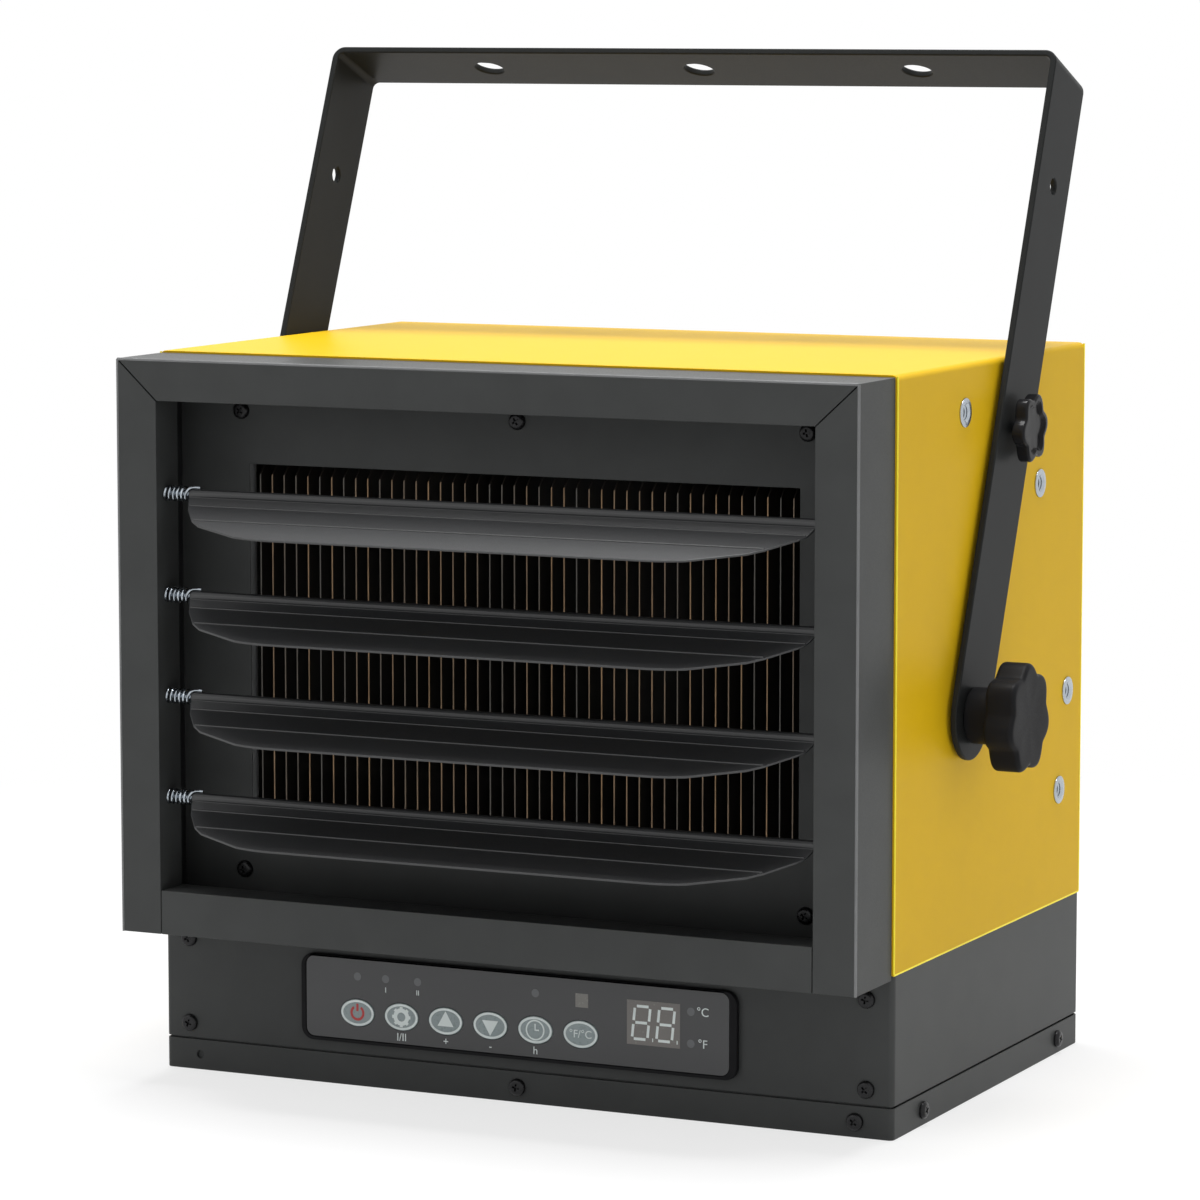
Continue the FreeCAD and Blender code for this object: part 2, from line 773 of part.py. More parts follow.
def fan_wheel():
    """Hub with pitched blades."""
    hub = large_bar(Vector(0, fan_hub_front, fan_height), ALONG_Y, fan_hub_radius, fan_hub_length)
    middle = Vector(0, (fan_hub_front + fan_hub_back) / 2, fan_height)
    root = ALONG_Z * (fan_hub_radius - fan_blade_thickness)
    tip = ALONG_Z * fan_radius
    lift = ALONG_Y * (fan_blade_thickness / 2)
    root_half = ALONG_X * (fan_blade_root / 2)
    tip_half = ALONG_X * (fan_blade_chord / 2)
    blades = []
    for i in range(fan_blade_count):
        corners = [root - root_half, root + root_half, tip + tip_half, tip - tip_half]
        blade = prism([middle + corner - lift for corner in corners], lift * 2)
        blade.rotate(middle, ALONG_Z, fan_blade_angle)
        blade.rotate(middle, ALONG_Y, 360 / fan_blade_count * i)
        blades.append(blade)
    bore = small_hole(Vector(0, fan_hub_front - cut_overrun, fan_height), ALONG_Y,
                      shaft_radius + shaft_clearance,
                      fan_hub_length - fan_hub_cap + cut_overrun)
    return hub.fuse(blades).cut(bore).removeSplitter()


def fan_shaft():
    """Motor shaft that carries the wheel."""
    start = motor_back - motor_length / 2
    return small_bar(Vector(0, start, fan_height), ALONG_Y, shaft_radius,
                     fan_hub_back - fan_hub_cap - start)


def fan_motor():
    """Motor body with a bearing nose, bored for the shaft."""
    body = large_bar(Vector(0, motor_front, fan_height), ALONG_Y, motor_radius, motor_length)
    nose = small_bar(Vector(0, motor_back, fan_height), ALONG_Y, motor_nose_radius, motor_nose_length)
    bore_start = motor_back - motor_length / 2 - shaft_end_room
    bore = small_hole(Vector(0, bore_start, fan_height), ALONG_Y, shaft_radius + shaft_clearance,
                      motor_back + motor_nose_length + cut_overrun - bore_start)
    return body.fuse(nose).cut(bore)


def motor_strap():
    """Upright strap from the chamber's floor to its roof, with a foot at each end."""
    roof = case_height - sheet
    strap = bar(strap_width / 2, motor_front - strap_sheet, motor_front, floor_top, roof)
    foot_front = motor_front - strap_foot
    low_foot = bar(strap_width / 2, foot_front, motor_front, floor_top, floor_top + strap_sheet)
    high_foot = bar(strap_width / 2, foot_front, motor_front, roof - strap_sheet, roof)
    return strap.fuse([low_foot, high_foot]).removeSplitter()


def collar_half_width():
    return panel_half_width - panel_rim - panel_window_margin + panel_collar


def collar_bottom():
    return panel_bottom + panel_rim_height + panel_window_margin / 2 - panel_collar


def collar_top():
    return panel_top - panel_rim_height - panel_window_margin / 2 + panel_collar


def control_frame():
    """Moulded frame round the key film, with a collar through the housing's window."""
    plate = bar(panel_half_width, front - panel_proud, front, panel_bottom, panel_top)
    plate = round_along(plate, ALONG_Y, panel_corner_radius)
    recess = bar(panel_half_width - panel_rim, front - panel_proud - cut_overrun, film_back,
                 panel_bottom + panel_rim_height, panel_top - panel_rim_height)
    recess = round_along(recess, ALONG_Y, film_corner_radius)
    collar = bar(collar_half_width(), front, board_front, collar_bottom(), collar_top())
    window = bar(collar_half_width() - panel_collar, front - panel_proud - cut_overrun,
                 board_front + cut_overrun,
                 collar_bottom() + panel_collar, collar_top() - panel_collar)
    return plate.cut(recess).fuse(collar).cut(window).removeSplitter()


def control_film():
    """Key film with an oval opening for each key."""
    rim = panel_rim + film_clearance
    rim_height = panel_rim_height + film_clearance
    film = bar(panel_half_width - rim, film_front, film_back, panel_bottom + rim_height,
               panel_top - rim_height)
    film = round_along(film, ALONG_Y, film_corner_radius - film_clearance)
    holes = [oval(x, key_row_height, key_half_width + key_clearance, key_half_height + key_clearance,
                  film_front - cut_overrun, film_back + cut_overrun) for x in key_places]
    return film.cut(holes)


def key(x):
    """Oval key that stands a little proud of the film."""
    return oval(x, key_row_height, key_half_width, key_half_height, film_front - key_proud, key_back)


def key_switches():
    """One small switch behind each key."""
    half = switch_side / 2
    return group([box(x - half, x + half, board_front - switch_height, board_front,
                      key_row_height - half, key_row_height + half) for x in key_places])


def control_board():
    """Circuit board against the back of the frame's collar."""
    return bar(collar_half_width(), board_front, board_front + board_thickness, collar_bottom(),
               collar_top())


def display_module():
    """Two-digit display between the board and the film."""
    return box(display_left, display_right, film_back + display_film_gap, board_front, display_bottom,
               display_top)


def indicator_leds():
    """Small lamps behind the film: power, low, high, timer and the two units."""
    timer_x = key_places[key_names.index("timer")]
    places = [(x, led_upper_row) for x in (key_first_x, led_low_x, led_high_x, timer_x)]
    places += [(led_side_column, led_unit_high), (led_side_column, led_unit_low)]
    half = led_side / 2
    return group([box(x - half, x + half, film_back + display_film_gap, board_front, z - half, z + half)
                  for x, z in places])


def remote_receiver():
    """Square receiver behind the film."""
    half = receiver_side / 2
    return box(receiver_x - half, receiver_x + half, film_back + display_film_gap, board_front,
               receiver_z - half, receiver_z + half)


def relay_board():
    """Power board on standoffs over the tray."""
    level = sheet + standoff_height
    return box(-relay_board_length, 0, relay_board_front, relay_board_front + relay_board_width,
               level, level + board_thickness)


def board_standoffs():
    """Six-sided pillars under the power board's corners."""
    pillars = []
    for x in (-relay_board_length + standoff_inset, -standoff_inset):
        for y in (relay_board_front + standoff_inset,
                  relay_board_front + relay_board_width - standoff_inset):
            corners = []
            for corner in range(6):
                angle = math.pi / 3 * corner
                corners.append(Vector(x, y, sheet) + Vector(math.cos(angle), math.sin(angle),
                                                            0) * standoff_radius)
            pillars.append(prism(corners, ALONG_Z * standoff_height))
    return group(pillars)


def power_relays():
    """Two relays, one for each heating element."""
    level = sheet + standoff_height + board_thickness
    middle_x = -relay_board_length / 2
    middle_y = relay_board_front + relay_board_width / 2
    relays = []
    for side in (-1, 1):
        x = middle_x + side * relay_spacing / 2
        relays.append(box(x - relay_length / 2, x + relay_length / 2, middle_y - relay_width / 2,
                          middle_y + relay_width / 2, level, level + relay_height))
    return group(relays)


def terminal_block():
    """Supply terminals in a slotted block on the tray."""
    left = terminal_block_x - terminal_block_length / 2
    block = box(left, left + terminal_block_length, terminal_block_front,
                terminal_block_front + terminal_block_width,
                sheet, sheet + terminal_block_height)
    pitch = terminal_block_length / terminal_block_slots
    top = sheet + terminal_block_height
    slots = []
    for i in range(terminal_block_slots):
        x = left + pitch * (i + 0.5)
        slots.append(box(x - terminal_slot_width / 2, x + terminal_slot_width / 2,
                         terminal_block_front - cut_overrun,
                         terminal_block_front + terminal_block_width + cut_overrun, top - terminal_slot_depth,
                         top + cut_overrun))
    return block.cut(slots)


def cable_gland():
    """Gland for the supply cable in the back of the base."""
    inside = rear - sheet - gland_nut_length
    body = large_bar(Vector(gland_x, inside, gland_z), ALONG_Y, gland_body_radius,
                     gland_nut_length + sheet + gland_nose)
    corners = []
    for corner in range(6):
        angle = math.pi / 3 * corner
        out = Vector(math.cos(angle), 0, math.sin(angle)) * gland_nut_radius
        corners.append(Vector(gland_x, rear, gland_z) + out)
    outer_nut = prism(corners, ALONG_Y * gland_nut_length)
    inner_nut = prism([point - ALONG_Y * (sheet + gland_nut_length) for point in corners],
                      ALONG_Y * gland_nut_length)
    bore = small_hole(Vector(gland_x, inside - cut_overrun, gland_z), ALONG_Y, gland_bore_radius,
                      gland_nut_length + sheet + gland_nose + 2 * cut_overrun)
    return body.fuse([outer_nut, inner_nut]).cut(bore).removeSplitter()


def rivet_nut(y, z, flange_radius, barrel_radius, barrel_length, bore_radius):
    """Flanged nut set into the right side of the case."""
    flange = small_bar(Vector(half_width, y, z), ALONG_X, flange_radius, rivet_flange)
    barrel = small_bar(Vector(half_width - barrel_length, y, z), ALONG_X, barrel_radius, barrel_length)
    bore = small_hole(Vector(half_width - barrel_length - cut_overrun, y, z), ALONG_X, bore_radius,
                      barrel_length + rivet_flange + 2 * cut_overrun)
    return flange.fuse(barrel).cut(bore)


def rivet_nuts():
    """Threaded stops for the lock knobs, the same on both sides."""
    nuts = []
    for degrees in rivet_nut_angles:
        y, z = around_pivot(degrees, lock_along)
        nut = rivet_nut(y, z, rivet_flange_radius, rivet_barrel_radius, rivet_barrel_length,
                        lock_stud_radius + stud_clearance)
        nuts += both_sides(nut)
    return group(nuts)


def pivot_nuts():
    """Larger nuts that the bracket turns about."""
    nut = rivet_nut(pivot_y, pivot_height, pivot_nut_flange_radius, pivot_nut_barrel_radius,
                    pivot_nut_length,
                    pivot_stud_radius + stud_clearance)
    return group(both_sides(nut))


def pivot_washers():
    """Washers between the case and the bracket's legs."""
    start = Vector(half_width + rivet_flange, pivot_y, pivot_height)
    thickness = bracket_gap - rivet_flange - pivot_washer_slack
    disc = small_bar(start, ALONG_X, pivot_washer_radius, thickness)
    bore = small_hole(start - ALONG_X * cut_overrun, ALONG_X, pivot_stud_radius + stud_clearance,
                      thickness + 2 * cut_overrun)
    return group(both_sides(disc.cut(bore)))


def bracket():
    """Flat steel strap bent into a U, round at the pivots, tilted back about them."""
    top = pivot_height + bracket_reach
    y_low, y_high = pivot_y - bracket_width / 2, pivot_y + bracket_width / 2
    outer = round_along(bar(leg_outer, y_low, y_high, pivot_height, top), ALONG_Y, bracket_bend_radius,
                        True)
    inner = bar(leg_inner, y_low - cut_overrun, y_high + cut_overrun, pivot_height - cut_overrun,
                top - bracket_sheet)
    inner = round_along(inner, ALONG_Y, bracket_bend_radius - bracket_sheet, True)
    foot = round_bar(Vector(leg_inner, pivot_y, pivot_height), ALONG_X, bracket_width / 2, bracket_sheet)
    strap = outer.cut(inner).fuse(both_sides(foot)).removeSplitter()
    through = 2 * (leg_outer + cut_overrun)
    holes = []
    for along, radius in ((0, pivot_stud_radius + stud_clearance), (lock_along,
                                                                    lock_stud_radius + stud_clearance),
                          (leg_hole_along, leg_hole_radius)):
        start = Vector(-leg_outer - cut_overrun, pivot_y, pivot_height + along)
        holes.append(small_hole(start, ALONG_X, radius, through))
    for x in (-bracket_hole_spacing, 0, bracket_hole_spacing):
        start = Vector(x, pivot_y, top - bracket_sheet - cut_overrun)
        holes.append(round_bar(start, ALONG_Z, bracket_hole_radius, bracket_sheet + 2 * cut_overrun))
    strap = strap.cut(holes)
    strap.rotate(Vector(0, pivot_y, pivot_height), ALONG_X, -bracket_tilt)
    return strap


def star(start, radius, lobes, lobe_depth, length):
    """Star-shaped knob head whose outline is a wave of round lobes."""
    corners = []
    for i in range(lobes * lobe_sides):
        angle = 2 * math.pi * i / (lobes * lobe_sides)
        wave_share = ((1 + math.cos(lobes * angle)) / 2) ** lobe_fullness_share
        out = Vector(0, math.sin(angle), math.cos(angle))
        corners.append(start + out * (radius - lobe_depth * (1 - wave_share)))
    return prism(corners, ALONG_X * length)


def pivot_knob():
    """Large knob on the right: a round hub and a star head with a dished face."""
    seat = Vector(leg_outer + pivot_knob_slack, pivot_y, pivot_height)
    head_start = seat + ALONG_X * pivot_hub_length
    hub = large_bar(seat, ALONG_X, pivot_hub_radius, pivot_hub_length)
    head = star(head_start, pivot_head_radius, pivot_lobes, pivot_lobe_depth, pivot_head_length)
    dish = large_bar(head_start + ALONG_X * (pivot_head_length - pivot_dish_depth), ALONG_X,
                     pivot_dish_radius,
                     pivot_dish_depth + cut_overrun)
    bore = small_hole(seat - ALONG_X * cut_overrun, ALONG_X, pivot_stud_radius + knob_bore_clearance,
                      pivot_stud_in_knob + knob_bore_clearance + cut_overrun)
    return hub.fuse(head).cut([dish, bore])


def pivot_stud():
    """Threaded stud of the large right knob."""
    start = half_width + rivet_flange - pivot_stud_in_nut
    end = leg_outer + pivot_knob_slack + pivot_stud_in_knob
    return small_bar(Vector(start, pivot_y, pivot_height), ALONG_X, pivot_stud_radius, end - start)


def lock_knob():
    """Small star knob on the right leg, backed off by its travel."""
    seat = Vector(leg_outer + lock_knob_slack + lock_travel, lock_y, lock_z)
    head = star(seat, lock_head_radius, lock_lobes, lock_lobe_depth, lock_head_length)
    head.rotate(seat, ALONG_X, -bracket_tilt)
    dish = large_bar(seat + ALONG_X * (lock_head_length - lock_dish_depth), ALONG_X, lock_dish_radius,
                     lock_dish_depth + cut_overrun)
    bore = small_hole(seat - ALONG_X * cut_overrun, ALONG_X, lock_stud_radius + knob_bore_clearance,
                      lock_stud_in_knob + knob_bore_clearance + cut_overrun)
    return head.cut([dish, bore])


def lock_stud():
    """Threaded stud of the small right knob. Its tip stops short of the rivet nuts."""
    start = leg_inner - lock_stud_tip
    end = leg_outer + lock_knob_slack + lock_travel + lock_stud_in_knob
    return small_bar(Vector(start, lock_y, lock_z), ALONG_X, lock_stud_radius, end - start)


def screw_head(seat, outward):
    """Low head that stands on a face."""
    return small_bar(seat, outward, screw_head_radius, screw_head_height)


def panel_screws():
    """Screws of the panel round the core."""
    places = [(-panel_screw_x, panel_screw_top), (0, panel_screw_top), (panel_screw_x, panel_screw_top),
              (-panel_screw_x, panel_screw_bottom), (panel_screw_x, panel_screw_bottom)]
    return [screw_head(Vector(x, core_panel_front, z), -ALONG_Y) for x, z in places]


def housing_screws():
    """Screws of the control box's front."""
    heads = []
    for z in (housing_screw_low, housing_screw_high):
        heads += both_sides(screw_head(Vector(housing_screw_x, front, z), -ALONG_Y))
    return heads


def tray_screws():
    """Screws of the tray's lip. The front left hole is left open."""
    level = tray_lip / 2
    heads = [screw_head(Vector(x, front, level), -ALONG_Y) for x in (0, tray_screw_x)]
    for back in (tray_screw_front, tray_screw_back):
        heads += both_sides(screw_head(Vector(half_width, front + back, level), ALONG_X))
    heads += both_sides(screw_head(Vector(tray_screw_x, rear, level), ALONG_Y))
    return heads


def rear_screws():
    """Screws of the rear guard and of the case's turned-in rear edge."""
    guard_x = guard_half_width - guard_screw_margin
    edge_x = half_width - rear_screw_margin
    rise = guard_half_height - guard_screw_margin
    heads = []
    for z in (fan_height - rise, fan_height + rise):
        for x in (guard_x, edge_x):
            heads += both_sides(screw_head(Vector(x, rear, z), ALONG_Y))
    return heads


def build():
    """Every node of the heater by name."""
    nodes = {
        "case_wrap": case_wrap(), "case_floor": case_floor(), "base_housing": base_housing(),
        "base_tray": base_tray(), "core_panel": core_panel(), "bezel_hood": bezel_hood(),
        "bezel_bottom_rail": bezel_bottom_rail(), "heater_fins": heater_fins(),
        "heater_elements": heater_elements(), "element_terminals": element_terminals(),
        "element_end_plates": element_end_plates(), "thermal_cutout": thermal_cutout(),
        "rear_panel": rear_panel(), "rear_guard": rear_guard(), "fan_wheel": fan_wheel(),
        "fan_shaft": fan_shaft(), "fan_motor": fan_motor(), "motor_strap": motor_strap(),
        "control_frame": control_frame(), "control_film": control_film(), "key_switches": key_switches(),
        "control_board": control_board(), "display_module": display_module(),
        "indicator_leds": indicator_leds(), "remote_receiver": remote_receiver(),
        "relay_board": relay_board(), "board_standoffs": board_standoffs(), "power_relays": power_relays(),
        "terminal_block": terminal_block(), "cable_gland": cable_gland(), "rivet_nuts": rivet_nuts(),
        "pivot_nuts": pivot_nuts(), "pivot_washers": pivot_washers(), "bracket": bracket(),
        "case_screws": group(panel_screws() + housing_screws() + tray_screws() + rear_screws()),
    }
    pairs = {"pivot_knob": pivot_knob(), "pivot_stud": pivot_stud(), "lock_knob": lock_knob(),
             "lock_stud": lock_stud()}
    for name, shape in pairs.items():
        nodes[name + "_right"] = shape
        nodes[name + "_left"] = mirrored(shape)
    for number, z in enumerate(reversed(louvre_heights), 1):
        nodes["louvre_%d" % number] = louvre(z)
        nodes["louvre_rod_%d" % number] = louvre_rod(z)
    nodes["louvre_springs"] = group([louvre_spring(z) for z in louvre_heights])
    for name, x in zip(key_names, key_places):
        nodes["key_" + name] = key(x)
    return nodes


os.makedirs("parts", exist_ok=True)
for node, solid in build().items():
    save(node, solid)
print("least gap between spring turns: %.2f mm" % spring_self_gap(louvre_lowest))
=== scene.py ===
"""Looks of a louvred garage heater, dressed over its solid parts."""
import json
import math

import bpy
from mathutils import Matrix, Vector


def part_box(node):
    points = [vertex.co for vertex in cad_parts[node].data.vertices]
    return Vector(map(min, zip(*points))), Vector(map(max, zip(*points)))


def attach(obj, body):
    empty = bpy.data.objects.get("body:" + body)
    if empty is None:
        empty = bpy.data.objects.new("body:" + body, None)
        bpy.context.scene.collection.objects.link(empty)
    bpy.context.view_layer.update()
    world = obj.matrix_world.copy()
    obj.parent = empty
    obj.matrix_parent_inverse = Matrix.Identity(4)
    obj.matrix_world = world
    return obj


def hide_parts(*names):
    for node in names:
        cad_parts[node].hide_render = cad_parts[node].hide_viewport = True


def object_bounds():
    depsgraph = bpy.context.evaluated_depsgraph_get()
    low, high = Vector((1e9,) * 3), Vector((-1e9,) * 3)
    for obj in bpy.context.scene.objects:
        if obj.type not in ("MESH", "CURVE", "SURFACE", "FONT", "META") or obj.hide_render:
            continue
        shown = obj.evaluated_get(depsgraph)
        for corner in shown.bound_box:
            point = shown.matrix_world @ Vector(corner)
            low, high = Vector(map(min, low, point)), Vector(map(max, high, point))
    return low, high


bl_info = {
    "name": "Garage heater looks",
    "version": (1, 0, 0),
    "blender": (4, 5, 0),
    "location": "View3D > Sidebar > Heater",
    "description": "Dresses the solids of a garage heater with finished pieces and materials",
    "category": "Object",
}

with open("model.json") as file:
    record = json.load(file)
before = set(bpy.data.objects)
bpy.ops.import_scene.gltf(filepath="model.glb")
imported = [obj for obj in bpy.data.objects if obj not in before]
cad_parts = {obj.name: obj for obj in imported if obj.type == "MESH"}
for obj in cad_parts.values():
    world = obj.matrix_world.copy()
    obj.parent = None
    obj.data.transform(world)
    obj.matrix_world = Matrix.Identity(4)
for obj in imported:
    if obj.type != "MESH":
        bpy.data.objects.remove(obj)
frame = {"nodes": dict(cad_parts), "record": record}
solid_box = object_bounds()
record = frame["record"]
behaviour = record["behaviour"]
body_of_node = {node: body for body, nodes in behaviour["bodies"].items() for node in nodes}
slot_of_node = {part["node"]: part["material_slot"] for part in record["subparts"]}
joint_place = {joint["name"]: Vector(joint["pos_m"]) for joint in behaviour["joints"] if "pos_m" in joint}
finishes = {}

# Lengths are in metres. A share is of the size that its function names.
SIDES = {"right": 1, "left": -1}
RIGHTWARD = Vector((1, 0, 0))
FORWARD = Vector((0, -1, 0))
SMOOTH_ANGLE = math.radians(35)
FLAT_ANGLE = math.radians(1)
WELD_DISTANCE = 1e-6

# Patterns of the finishes
PATTERN_LOW = 0.3
PATTERN_HIGH = 0.7
SLOW_GRAINS = 40
ROUGH_SPREAD = 0.06
GRAIN_STRENGTH = 0.35
STREAK_GRAIN = 60.0
FIN_GAPS = 43

# Sheets
BRACKET_EDGES = 2
BEZEL_FOLD_EDGES = 1.6
CASE_FOLD_EDGES = 1.3
SUNK_SHARE = 0.6
STILE = 0.0200
HOOD_FACE = 0.0185
RETURN = 0.0195
WALL = 0.0010
WALL_BACK = 0.0105
CORE_FOLD = 0.0055

# Louvres: a cut of an end has its reach in front of the axis, its inset and its slant,
# and a crease has its reach, its drop below the axis and its inset
LOUVRES = 4
LOUVRE_ENDS = ((0.0, 0.0, 0.52), (0.0100, 0.0052, 0.72), (0.0230, 0.0147, 1.15), (0.0285, 0.0210, 2.4))
CREASES = ((0.0060, 0.0046, 0.0038), (0.0230, 0.0090, 0.0154))
CREASE_EDGES = 1.4
BLADE_EDGES = 0.7
BLADE_ANGLE = 4

# Friction springs
COIL_STEPS = 28
HOOK_STEPS = 18
HOOK_SWEEP = math.radians(200)
HOOK_WIRES = 5

# Screws, nuts, washers and studs
DOME_SHARE = 0.75
RECESS_LENGTH = 1.25
RECESS_WIDTH = 0.3
RECESS_LIFT = 1.02
RECESS_TAPER = (0.45, 0.6, 1)
SCREW_TURN = 0.7
RIVET_BORE = 0.0031
RIVET_DEPTH = 0.007
PIVOT_BORE = 0.0041
PIVOT_DEPTH = 0.010
NUT_RIM = 0.45
NUT_ROOT = 0.88
SLEEVE_SHARE = 1.3
THREADED_SHARE = 0.3
CUT_THROUGH = 1.05
MOUTH_FLARE = 1.35
WASHER_EDGE = 0.2
STUD_ROOT = 0.9

# Knobs: a level of a face has its depth below the top and its share of the outline
LOBE_STEPS = 18
LOBE_FULLNESS = 0.8
EDGE_SHARE = 0.09
PIVOT_LOBES = 7
PIVOT_LOBE_DEPTH = 0.0036
PIVOT_EDGE = 0.0022
PIVOT_DOME = ((0.0, 0.84), (0.0001, 0.66), (0.0003, 0.45), (0.0004, 0.2))
HUB_SHARE = 13 / 27
HUB_RADIUS = 0.0125
HUB_OVERLAP = 0.001
HUB_EDGE = 0.0009
COLLAR_RADIUS = 0.0118
COLLAR_LENGTH = 0.004
COLLAR_EDGE = 0.0004
LOCK_LOBES = 6
LOCK_LOBE_DEPTH = 0.0032
LOCK_EDGE = 0.0011
LOCK_DISH = ((0.0, 0.86), (0.0, 0.80), (0.0006, 0.76), (0.0014, 0.70), (0.0015, 0.55), (0.0015, 0.2))
LOCK_LEAN = math.radians(22.5)

# Control panel: how far the film's outline moves on each side
FRAME_EDGES = 0.7
FILM_LEFT = 0.0028
FILM_RIGHT = 0.0017
FILM_BELOW = 0.0010
FILM_ABOVE = 0.0018
SEAT_GAP = 0.0005
SEAT_CORNER = 0.0065

# Keys and signs: a line is a share of the printed line's width
KEY_NAMES = ("power", "mode", "up", "down", "timer", "unit")
KEY_LABELS = {"key_mode": "I/II", "key_up": "+", "key_down": "-", "key_timer": "h"}
KEY_ANGLE = 60
RIM_INSET = 1.6
LABEL_GAP = 0.0032
LABEL_SIZE = 0.0050
ARROW_RADIUS = 0.0046
UNIT_SIZE = 0.0050
BOLD_LINE = 1.15
GEAR_LINE = 1.9
TOOTH_LINE = 1.5
THIN_LINE = 0.7

# Lamps, counted from zero at the left
LAMP_SHARE = 0.62
SIGNS_BELOW = {1: "I", 2: "II"}
SIGNS_BESIDE = {4: "°F", 5: "°C"}
SIGN_DROP = 1.7
SIGN_SHIFT = 1.9
STEP_SIZE = 0.0034
LAMP_UNIT_SIZE = 0.0054

# Digits: sizes are shares of the window, and bars are shares of a digit
DIGIT_WIDTH = 0.29
DIGIT_HEIGHT = 0.74
DIGIT_SHIFT = 0.23
DIGIT_LEAN = 0.10
BAR_HALF = 0.38
BAR_START = 0.12
BAR_END = 0.88
POINT_START = 0.72
POINT_END = 0.78
SEGMENT_RADIUS = 0.00062
POINT_RADIUS = 0.0008

# Stage: a lamp has its name, place, target, size and watts, and the lens is in millimetres
CAMERA_PLACE = (0.9742, -2.0784, 0.4858)
CAMERA_YAW = math.radians(25.43)
CAMERA_PITCH = math.radians(6.78)
LENS = 150.5
SENSOR = 36.0
FARTHEST = 50
WORLD_STRENGTH = 0.58
LAMPS = (
    ("overhead", (0.0, 0.05, 2.1), (0, 0, 0.3), (0.9, 0.9), 53),
    ("front_left", (-1.6, -2.4, 1.5), (0, 0, 0.2), (1.2, 1.2), 4),
    ("right_side", (2.4, -0.9, 1.0), (0, 0, 0.2), (1.2, 1.6), 0.8),
)
FLOOR_SIZE = 30
FLOOR_DROP = 0.0002
FLOOR_GRAIN = 3.0
FLOOR_TONE = (0.90, 0.90, 0.90)
FADE_START = 0.3
FADE_END = 0.9
FADE_LEAST = 0.72


class HeaterSizes(bpy.types.PropertyGroup):
    """Sizes of the finish, in metres."""

    sheet_edge: bpy.props.FloatProperty(
        name="Sheet edge", description="Rounding of folded and cut sheet edges",
        default=0.0004, unit="LENGTH")
    plastic_edge: bpy.props.FloatProperty(
        name="Plastic edge", description="Rounding of moulded edges",
        default=0.0007, unit="LENGTH")
    screw_radius: bpy.props.FloatProperty(
        name="Screw radius", description="Radius of a pan head",
        default=0.0039, unit="LENGTH")
    screw_height: bpy.props.FloatProperty(
        name="Screw height", description="Height of a pan head",
        default=0.0022, unit="LENGTH")
    spring_wire: bpy.props.FloatProperty(
        name="Spring wire", description="Diameter of the friction springs' wire",
        default=0.0012, unit="LENGTH")
    spring_turns: bpy.props.IntProperty(
        name="Spring turns", description="Turns of each friction spring",
        default=5)
    thread_pitch: bpy.props.FloatProperty(
        name="Thread pitch", description="Distance between thread crests",
        default=0.00125, unit="LENGTH")
    pivot_knob_radius: bpy.props.FloatProperty(
        name="Pivot knob radius", description="Radius of a large knob over its lobes",
        default=0.0245, unit="LENGTH")
    lock_knob_radius: bpy.props.FloatProperty(
        name="Lock knob radius", description="Radius of a small knob over its lobes",
        default=0.01575, unit="LENGTH")
    mark_width: bpy.props.FloatProperty(
        name="Mark width", description="Half the line width of the printed signs",
        default=0.0005, unit="LENGTH")
    mark_depth: bpy.props.FloatProperty(
        name="Mark depth", description="How far printed signs stand proud",
        default=0.00006, unit="LENGTH")


